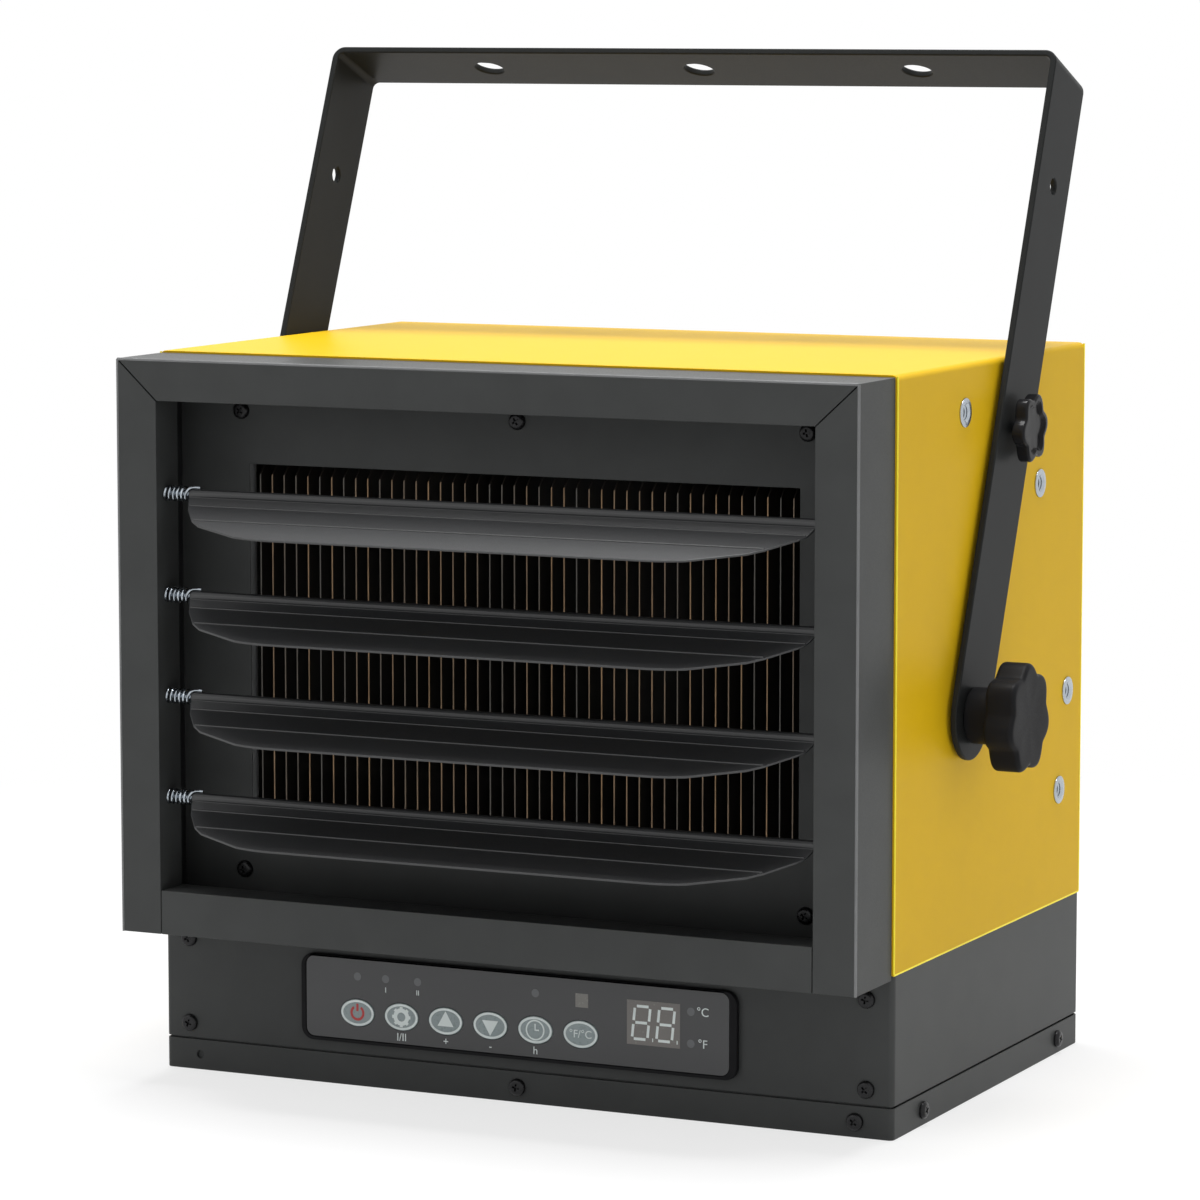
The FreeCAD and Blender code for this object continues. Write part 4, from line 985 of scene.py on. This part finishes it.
def star_head(name, lobes, radius, lobe_depth, levels):
    """Star-shaped head made along Z, from levels of height and share of the outline."""
    piece = disc(name, lobes * LOBE_STEPS, radius)
    for vertex in piece.data.vertices:
        angle = math.atan2(vertex.co.y, vertex.co.x)
        wave = ((1 + math.cos(lobes * angle)) / 2) ** LOBE_FULLNESS
        vertex.co *= (radius - lobe_depth * (1 - wave)) / radius

    def raise_levels():
        height, size = levels[0]
        scale_outline(size)
        for next_height, next_size in levels[1:]:
            extrude_up(next_height - height)
            scale_outline(next_size / size)
            height, size = next_height, next_size

    edit(raise_levels)
    face_outward()
    smooth(piece)
    return piece


def rounded_levels(length, edge, face):
    """Levels of a head with quarter-round edges, then those of its face, sunk below its top."""
    arc = [math.radians(angle) for angle in range(0, 91, 15)]
    lower = [(edge * (1 - math.sin(a)), 1 - EDGE_SHARE * (1 - math.cos(a))) for a in reversed(arc)]
    upper = [(length - edge * (1 - math.sin(a)), 1 - EDGE_SHARE * (1 - math.cos(a))) for a in arc]
    return lower + upper + [(length - sunk, share) for sunk, share in face]


def stand_knob(knob, node, joint, sign, lean):
    """Stands a knob on a leg, with its first lobe up the leg."""
    low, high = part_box(node)
    place = joint_place[joint].copy()
    place.x = low.x if sign > 0 else high.x
    up = Vector((0, math.sin(lean), math.cos(lean)))
    outward = Vector((sign, 0, 0))
    turned = Matrix((up, outward.cross(up), outward)).transposed().to_4x4()
    return moved(knob, Matrix.Translation(place) @ turned)


def pivot_knob(side, sign):
    """Large satin knob with a domed face, on a hub with a collar."""
    node = "pivot_knob_" + side
    low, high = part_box(node)
    length = high.x - low.x
    hub_length = length * HUB_SHARE
    levels = rounded_levels(length - hub_length, PIVOT_EDGE, PIVOT_DOME)
    head = star_head(node + "_star", PIVOT_LOBES, sizes().pivot_knob_radius, PIVOT_LOBE_DEPTH, levels)
    moved(head, Matrix.Translation((0, 0, hub_length)))
    hub = cylinder("knob_hub", HUB_RADIUS, hub_length + HUB_OVERLAP, sides=64)
    soften(hub, HUB_EDGE, segments=3)
    collar = cylinder("knob_collar", COLLAR_RADIUS, COLLAR_LENGTH, sides=64)
    soften(collar, COLLAR_EDGE)
    knob = joined([head, hub, collar], node + "_finished")
    finish(stand_knob(knob, node, "pivot_turn_" + side, sign, 0), "black_plastic", node, [node])


def lock_knob(side, sign):
    """Small glossy knob with a dished face."""
    node = "lock_knob_" + side
    low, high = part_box(node)
    levels = rounded_levels(high.x - low.x, LOCK_EDGE, LOCK_DISH)
    knob = star_head(node + "_finished", LOCK_LOBES, sizes().lock_knob_radius, LOCK_LOBE_DEPTH, levels)
    finish(stand_knob(knob, node, "lock_turn_" + side, sign, LOCK_LEAN), "gloss_black", node, [node])


def star_knobs():
    """Large knobs at the pivots and small knobs that lock the tilt."""
    for side, sign in SIDES.items():
        pivot_knob(side, sign)
        lock_knob(side, sign)


def threaded_stud(node, joint):
    """Stud of a knob, with a ridged thread."""
    low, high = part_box(node)
    length = high.x - low.x
    ridges = int(length / (sizes().thread_pitch / 2))
    stud = disc(node + "_threaded", 32, (high.y - low.y) / 2 * STUD_ROOT)
    edit(lambda: wind_thread(ridges, length / ridges, STUD_ROOT))
    face_outward()
    smooth(stud)
    place = joint_place[joint].copy()
    place.x = low.x
    moved(stud, facing(place, RIGHTWARD))
    finish(stud, "zinc_steel", node, [node])


def threaded_studs():
    """Studs of all the knobs."""
    for side in SIDES:
        threaded_stud("pivot_stud_" + side, "pivot_turn_" + side)
        threaded_stud("lock_stud_" + side, "lock_turn_" + side)


def heating_core():
    """Round heating elements between the fins, and their ceramic ends."""
    rods = round_bars("element_rod", "heater_elements", sizes().sheet_edge)
    finish(joined(rods, "heating_elements_round"), "element_steel", "root", ["heater_elements"])
    ends = round_bars("ceramic_end", "element_terminals", sizes().plastic_edge, segments=3)
    finish(joined(ends, "ceramic_ends"), "ceramic", "root", ["element_terminals"])


def fan_and_gland():
    """Moving air parts and the cable gland."""
    for node in ("fan_wheel", "fan_motor", "cable_gland", "thermal_cutout"):
        dress(node, sizes().plastic_edge)
    low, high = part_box("fan_shaft")
    middle = joint_place["fan_spin"]
    start = Vector((middle.x, low.y, middle.z))
    shaft = round_bar("fan_shaft_round", start, high.y - low.y, (high.z - low.z) / 2, sizes().sheet_edge,
                      outward=Vector((0, 1, 0)))
    finish(shaft, "zinc_steel", "fan", ["fan_shaft"])


def flat_sign(name, finish_name, body, shape, place):
    """Prints a sign that was drawn flat, facing forward, at a place on the panel."""
    depth = sizes().mark_depth
    low = min(vertex.co.z for vertex in shape.data.vertices)
    high = max(vertex.co.z for vertex in shape.data.vertices)
    squeeze = depth / (high - low) if high > low else 1
    stand = Matrix.Translation(place) @ Matrix.Rotation(math.pi / 2, 4, "X")
    moved(shape, stand @ Matrix.Diagonal((1, 1, squeeze, 1)) @ Matrix.Translation((0, 0, -low)))
    shape.name = name
    smooth(shape)
    return finish(shape, finish_name, body)


def ring_points(radius_x, radius_y, start=0.0, end=360.0, steps=48):
    """Points along a flat round or oval arc, between two angles in degrees."""
    points = []
    for i in range(steps + 1):
        angle = math.radians(start + (end - start) * i / steps)
        points.append((radius_x * math.cos(angle), radius_y * math.sin(angle), 0))
    return points


def closed_ring(name, radius_x, radius_y, line):
    """A round or oval ring of wire, drawn flat about the origin."""
    return tube_line(name, ring_points(radius_x, radius_y)[:-1], line, cyclic=True)


def solid_sign(name, sides, radius, turn=0.0):
    """Filled sign with straight sides."""
    piece = disc(name, sides, radius, turn)
    edit(lambda: extrude_up(sizes().mark_depth))
    face_outward()
    return piece


def words(name, text, height):
    """Generic sign set in plain letters, centred on the origin."""
    bpy.ops.object.text_add()
    piece = added(name)
    piece.data.body = text
    piece.data.size = height
    piece.data.align_x = "CENTER"
    piece.data.align_y = "CENTER"
    piece.data.extrude = sizes().mark_depth
    bpy.ops.object.convert(target="MESH")
    return only(piece)


def power_sign(line):
    """Broken ring with a stem in its gap."""
    radius = 0.0030
    arc_ends = (125, 415)
    stem_ends = (0.0008, 0.0042)
    arc = tube_line("power_arc", ring_points(radius, radius, *arc_ends), line * BOLD_LINE)
    stem = tube_line("power_stem", [(0, y, 0) for y in stem_ends], line * BOLD_LINE)
    return joined([arc, stem], "power_sign")


def gear_sign(line):
    """Toothed ring."""
    inner = 0.0030
    outer = 0.0046
    teeth = 8
    parts = [closed_ring("gear_ring", inner, inner, line * GEAR_LINE)]
    for i in range(teeth):
        angle = 2 * math.pi * i / teeth
        out = Vector((math.cos(angle), math.sin(angle), 0))
        parts.append(tube_line("gear_tooth", [out * inner, out * outer], line * TOOTH_LINE))
    return joined(parts, "gear_sign")


def clock_sign(line):
    """Thin ring with two hands."""
    radius = 0.0043
    hand_points = [(0, 0.0028, 0), (0, 0, 0), (0.0019, 0, 0)]
    face = closed_ring("clock_ring", radius, radius, line * THIN_LINE)
    hands = tube_line("clock_hands", hand_points, line * THIN_LINE)
    return joined([face, hands], "clock_sign")


def key_sign(name):
    """The sign on one key, drawn flat about the origin."""
    line = sizes().mark_width
    if name == "power":
        return power_sign(line)
    if name == "mode":
        return gear_sign(line)
    if name == "timer":
        return clock_sign(line)
    if name == "unit":
        return words("unit_sign", "°F/°C", UNIT_SIZE)
    return solid_sign("arrow_sign", 3, ARROW_RADIUS, 0 if name == "up" else math.pi)


def keys():
    """Oval keys with a pale rim and a generic sign."""
    line = sizes().mark_width
    for name in KEY_NAMES:
        node = "key_" + name
        low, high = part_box(node)
        middle = (low + high) / 2
        half = (high - low) / 2
        key = disc(node + "_cap", sides=64, radius=1)
        key.scale = (half.x, half.z, 1)
        bpy.ops.object.transform_apply()
        edit(lambda: extrude_up(high.y - low.y))
        face_outward()
        soften(key, sizes().sheet_edge / 2, segments=3, angle=KEY_ANGLE)
        moved(key, facing(Vector((middle.x, high.y, middle.z)), FORWARD))
        finish(key, "key_grey", node, [node])
        face = Vector((middle.x, low.y, middle.z))
        inset = line * RIM_INSET
        rim = closed_ring("rim", half.x - inset, half.z - inset, line)
        flat_sign(node + "_rim", "print_ink", node, rim, face)
        ink = "red_ink" if name == "power" else "print_ink"
        flat_sign(node + "_sign", ink, node, key_sign(name), face)


def lamp_windows(face_y):
    """Lamps in the film, with signs below the heat steps' lamps and beside the units' lamps."""
    for count, (middle, size) in enumerate(islands("indicator_leds")):
        place = Vector((middle.x, face_y, middle.z))
        dot = solid_sign("lamp_dot", 32, size.x * LAMP_SHARE)
        flat_sign("lamp_window_%d" % (count + 1), "lamp_window", "root", dot, place)
        if count in SIGNS_BELOW:
            word = words("lamp_word", SIGNS_BELOW[count], STEP_SIZE)
            place.z -= size.z * SIGN_DROP
            flat_sign("lamp_sign_%d" % count, "print_ink", "root", word, place)
        if count in SIGNS_BESIDE:
            word = words("lamp_word", SIGNS_BESIDE[count], LAMP_UNIT_SIZE)
            place.x += size.x * SIGN_SHIFT
            flat_sign("lamp_sign_%d" % count, "print_ink", "root", word, place)


def panel_signs():
    """Lamps, receiver window and generic signs on the film."""
    face_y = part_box("control_film")[0].y
    lamp_windows(face_y)
    low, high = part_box("remote_receiver")
    window = solid_sign("receiver_window", 4, (high.x - low.x) / math.sqrt(2), math.pi / 4)
    place = Vector(((low.x + high.x) / 2, face_y, (low.z + high.z) / 2))
    flat_sign("receiver_window", "receiver_lens", "root", window, place)
    for node, text in KEY_LABELS.items():
        low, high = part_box(node)
        place = Vector(((low.x + high.x) / 2, face_y, low.z - LABEL_GAP))
        flat_sign(node + "_label", "print_ink", "root", words("key_word", text, LABEL_SIZE), place)


def digit_bars(x, width, half):
    """Leaning bars of a seven-segment digit and the point after it, drawn flat."""
    lean = width * DIGIT_LEAN

    def bar(ends, radius=SEGMENT_RADIUS):
        return tube_line("segment", [(x + across, level, 0) for across, level in ends], radius)

    bars = []
    for level in (-half, 0, half):
        shift = lean * level / half
        bars.append(bar([(shift - width * BAR_HALF, level), (shift + width * BAR_HALF, level)]))
    for side in (-width / 2, width / 2):
        for start, end in ((-half * BAR_END, -half * BAR_START), (half * BAR_START, half * BAR_END)):
            bars.append(bar([(side + lean * level / half, level) for level in (start, end)]))
    bars.append(bar([(width * POINT_START, -half), (width * POINT_END, -half)], POINT_RADIUS))
    return bars


def display():
    """Pale window with two seven-segment digits."""
    low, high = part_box("display_module")
    place = (low + high) / 2
    place.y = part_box("control_film")[0].y
    size = high - low
    window = solid_sign("display_window", 4, 1, math.pi / 4)
    window.scale = (size.x / math.sqrt(2), size.z / math.sqrt(2), 1)
    bpy.ops.object.transform_apply()
    flat_sign("display_window", "display_lens", "root", window, place)
    bars = []
    for centre in (-DIGIT_SHIFT, DIGIT_SHIFT):
        bars += digit_bars(centre * size.x, size.x * DIGIT_WIDTH, size.z * DIGIT_HEIGHT / 2)
    place.y -= sizes().mark_depth
    flat_sign("display_digits", "print_ink", "root", joined(bars, "digits"), place)


def widen_seat(piece):
    """Moves the outline that frame and film share outwards, which leaves a narrow rim round the film."""
    low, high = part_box("control_film")
    size = high - low
    start = low - Vector((SEAT_GAP, 0, SEAT_GAP))
    end = high + Vector((SEAT_GAP, 0, SEAT_GAP))

    def at_corner(place):
        beside = start.x <= place.x < low.x + SEAT_CORNER or high.x - SEAT_CORNER < place.x <= end.x
        return beside and start.z <= place.z <= end.z

    def outline(mesh, part):
        return all(at_corner(mesh.vertices[i].co) for i in part.vertices)

    pick(piece, "EDGE", outline)
    wider = FILM_LEFT + FILM_RIGHT
    higher = FILM_BELOW + FILM_ABOVE
    still = (low.x + size.x * FILM_LEFT / wider, low.y, low.z + size.z * FILM_BELOW / higher)
    growth = (1 + wider / size.x, 1, 1 + higher / size.z)
    bpy.ops.transform.resize(value=growth, center_override=still)
    bpy.ops.object.mode_set(mode="OBJECT")


def control_panel():
    """Moulded frame and glossy film."""
    dress("control_frame", sizes().plastic_edge * FRAME_EDGES, segments=3, reshape=widen_seat)
    dress("control_film", sizes().sheet_edge / 3, reshape=widen_seat)


def plain_finishes():
    """Gives every solid that stays in view its own finish."""
    for node, solid in frame["nodes"].items():
        solid.data.materials.clear()
        solid.data.materials.append(finishes[slot_of_node[node]])


# Stage

def area_light(name, place, target, size, power):
    """Rectangular lamp at a place, aimed at a target."""
    lamp = bpy.data.lights.new(name, "AREA")
    lamp.shape = "RECTANGLE"
    lamp.size, lamp.size_y = size
    lamp.energy = power
    holder = bpy.data.objects.new(name, lamp)
    bpy.context.scene.collection.objects.link(holder)
    holder.location = place
    holder.rotation_euler = (Vector(target) - Vector(place)).to_track_quat("-Z", "Y").to_euler()


def seen_directly(tree):
    """One where the camera, a mirror or glass looks, and zero for the light that falls on things."""
    path = tree.nodes.new("ShaderNodeLightPath").outputs
    first = math_node(tree, "MAXIMUM", path["Is Camera Ray"], path["Is Glossy Ray"])
    return math_node(tree, "MAXIMUM", first, path["Is Transmission Ray"])


def blended(tree, share, first, second, output):
    """Ends a node tree in two shaders, blended by a share."""
    mix = tree.nodes.new("ShaderNodeMixShader")
    tree.links.new(share, mix.inputs["Fac"])
    tree.links.new(first, mix.inputs[1])
    tree.links.new(second, mix.inputs[2])
    tree.links.new(mix.outputs["Shader"], tree.nodes[output].inputs["Surface"])


def world_light(strength):
    """Plain light from all round, with a background that looks white."""
    world = bpy.data.worlds.new("pale_studio")
    bpy.context.scene.world = world
    world.use_nodes = True
    tree = world.node_tree
    dim = tree.nodes["Background"]
    dim.inputs["Color"].default_value = (1, 1, 1, 1)
    dim.inputs["Strength"].default_value = strength
    white = tree.nodes.new("ShaderNodeBackground")
    white.inputs["Color"].default_value = (1, 1, 1, 1)
    blended(tree, seen_directly(tree), dim.outputs["Background"], white.outputs["Background"],
            "World Output")


def pale_floor():
    """White ground that keeps the heater's shadow near it and fades into the background."""
    bpy.ops.mesh.primitive_plane_add(size=FLOOR_SIZE, location=(0, 0, solid_box[0].z - FLOOR_DROP))
    floor = added("pale_floor")
    bpy.ops.object.transform_apply()
    material, tree, shader, place = start_material("pale_floor")
    tone = tinted(tree, noise(tree, place, FLOOR_GRAIN), FLOOR_TONE, low=0.99, high=1.01)
    tree.links.new(tone, shader.inputs["Base Color"])
    shader.inputs["Roughness"].default_value = 0.9
    distance = tree.nodes.new("ShaderNodeVectorMath")
    distance.operation = "LENGTH"
    tree.links.new(place, distance.inputs[0])
    fade = mapped(tree, distance.outputs["Value"], FADE_START, FADE_END, FADE_LEAST, 1)
    share = math_node(tree, "MULTIPLY", fade, seen_directly(tree))
    white = tree.nodes.new("ShaderNodeEmission")
    blended(tree, share, shader.outputs["BSDF"], white.outputs["Emission"], "Material Output")
    floor.data.materials.append(material)


def camera():
    """Long lens at the photograph's place, in front and to the right."""
    holder = bpy.data.objects.new("camera", bpy.data.cameras.new("camera"))
    bpy.context.scene.collection.objects.link(holder)
    holder.data.lens = LENS
    holder.data.sensor_width = SENSOR
    holder.data.clip_end = FARTHEST
    holder.location = CAMERA_PLACE
    level = math.cos(CAMERA_PITCH)
    ahead = Vector((-math.sin(CAMERA_YAW) * level, math.cos(CAMERA_YAW) * level, -math.sin(CAMERA_PITCH)))
    holder.rotation_euler = ahead.to_track_quat("-Z", "Y").to_euler()
    bpy.context.scene.camera = holder


def stage():
    """Camera, light and floor."""
    camera()
    world_light(WORLD_STRENGTH)
    pale_floor()
    for lamp in LAMPS:
        area_light(*lamp)
    bpy.context.scene.view_settings.view_transform = "Standard"


# Operators and panel

class HEATER_OT_materials(bpy.types.Operator):
    """Make one finish for each material slot."""

    bl_idname = "heater.materials"
    bl_label = "Materials"

    def execute(self, context):
        make_finishes()
        return {"FINISHED"}


class HEATER_OT_solids(bpy.types.Operator):
    """Give every solid that stays in view its own finish."""

    bl_idname = "heater.solids"
    bl_label = "Plain solids"

    def execute(self, context):
        plain_finishes()
        return {"FINISHED"}


class HEATER_OT_sheets(bpy.types.Operator):
    """Round the bends and cut edges of the case, base, bezel and bracket."""

    bl_idname = "heater.sheets"
    bl_label = "Folded sheets"

    def execute(self, context):
        folded_sheets()
        return {"FINISHED"}


class HEATER_OT_louvres(bpy.types.Operator):
    """Finish the folded louvres and the rods that they turn on."""

    bl_idname = "heater.louvres"
    bl_label = "Louvres and rods"

    def execute(self, context):
        louvres()
        return {"FINISHED"}


class HEATER_OT_springs(bpy.types.Operator):
    """Wind the springs at the louvres' left ends."""

    bl_idname = "heater.springs"
    bl_label = "Friction springs"

    def execute(self, context):
        friction_springs()
        return {"FINISHED"}


class HEATER_OT_screws(bpy.types.Operator):
    """Put cross-recessed heads in place of the plain ones."""

    bl_idname = "heater.screws"
    bl_label = "Case screws"

    def execute(self, context):
        screws()
        return {"FINISHED"}


class HEATER_OT_nuts(bpy.types.Operator):
    """Set the zinc nuts and washers in the case's sides."""

    bl_idname = "heater.nuts"
    bl_label = "Nuts and washers"

    def execute(self, context):
        nuts_and_washers()
        return {"FINISHED"}


class HEATER_OT_knobs(bpy.types.Operator):
    """Model the pivot knobs and the lock knobs."""

    bl_idname = "heater.knobs"
    bl_label = "Star knobs"

    def execute(self, context):
        star_knobs()
        return {"FINISHED"}


class HEATER_OT_studs(bpy.types.Operator):
    """Cut ridged threads on the knobs' studs."""

    bl_idname = "heater.studs"
    bl_label = "Threaded studs"

    def execute(self, context):
        threaded_studs()
        return {"FINISHED"}


class HEATER_OT_core(bpy.types.Operator):
    """Round the heating elements and their ceramic ends."""

    bl_idname = "heater.core"
    bl_label = "Heating core"

    def execute(self, context):
        heating_core()
        return {"FINISHED"}


class HEATER_OT_fan(bpy.types.Operator):
    """Finish the fan, its motor and the cable gland."""

    bl_idname = "heater.fan"
    bl_label = "Fan and gland"

    def execute(self, context):
        fan_and_gland()
        return {"FINISHED"}


class HEATER_OT_panel(bpy.types.Operator):
    """Finish the moulded frame and the film."""

    bl_idname = "heater.panel"
    bl_label = "Control panel"

    def execute(self, context):
        control_panel()
        return {"FINISHED"}


class HEATER_OT_keys(bpy.types.Operator):
    """Model the oval keys and their signs."""

    bl_idname = "heater.keys"
    bl_label = "Keys"

    def execute(self, context):
        keys()
        return {"FINISHED"}


class HEATER_OT_signs(bpy.types.Operator):
    """Print the lamps, the receiver window and the signs on the film."""

    bl_idname = "heater.signs"
    bl_label = "Panel signs"

    def execute(self, context):
        panel_signs()
        return {"FINISHED"}


class HEATER_OT_display(bpy.types.Operator):
    """Print the window and its two digits."""

    bl_idname = "heater.display"
    bl_label = "Display"

    def execute(self, context):
        display()
        return {"FINISHED"}


class HEATER_OT_stage(bpy.types.Operator):
    """Set the camera, the lights and the floor."""

    bl_idname = "heater.stage"
    bl_label = "Stage"

    def execute(self, context):
        stage()
        return {"FINISHED"}


class HEATER_PT_looks(bpy.types.Panel):
    """Lists the steps that dress the heater."""

    bl_idname = "HEATER_PT_looks"
    bl_label = "Heater looks"
    bl_space_type = "VIEW_3D"
    bl_region_type = "UI"
    bl_category = "Heater"

    def draw(self, context):
        for step in steps:
            self.layout.operator(step.bl_idname)


steps = (HEATER_OT_materials, HEATER_OT_solids, HEATER_OT_sheets, HEATER_OT_louvres, HEATER_OT_springs,
         HEATER_OT_screws, HEATER_OT_nuts, HEATER_OT_knobs, HEATER_OT_studs, HEATER_OT_core,
         HEATER_OT_fan, HEATER_OT_panel, HEATER_OT_keys, HEATER_OT_signs, HEATER_OT_display,
         HEATER_OT_stage)
groups = (HeaterSizes, HeaterColours)


def register():
    """Registers the groups, the operators and the panel."""
    for entry in groups + steps + (HEATER_PT_looks,):
        bpy.utils.register_class(entry)
    bpy.types.Scene.heater_sizes = bpy.props.PointerProperty(type=HeaterSizes)
    bpy.types.Scene.heater_colours = bpy.props.PointerProperty(type=HeaterColours)


def unregister():
    """Takes back what register does."""
    del bpy.types.Scene.heater_colours
    del bpy.types.Scene.heater_sizes
    for entry in reversed(groups + steps + (HEATER_PT_looks,)):
        bpy.utils.unregister_class(entry)


def main():
    """Dresses the heater step by step."""
    register()
    bpy.ops.heater.materials()
    bpy.ops.heater.solids()
    bpy.ops.heater.sheets()
    bpy.ops.heater.louvres()
    bpy.ops.heater.springs()
    bpy.ops.heater.screws()
    bpy.ops.heater.nuts()
    bpy.ops.heater.knobs()
    bpy.ops.heater.studs()
    bpy.ops.heater.core()
    bpy.ops.heater.fan()
    bpy.ops.heater.panel()
    bpy.ops.heater.keys()
    bpy.ops.heater.signs()
    bpy.ops.heater.display()
    bpy.ops.heater.stage()


if __name__ == "__main__":
    main()
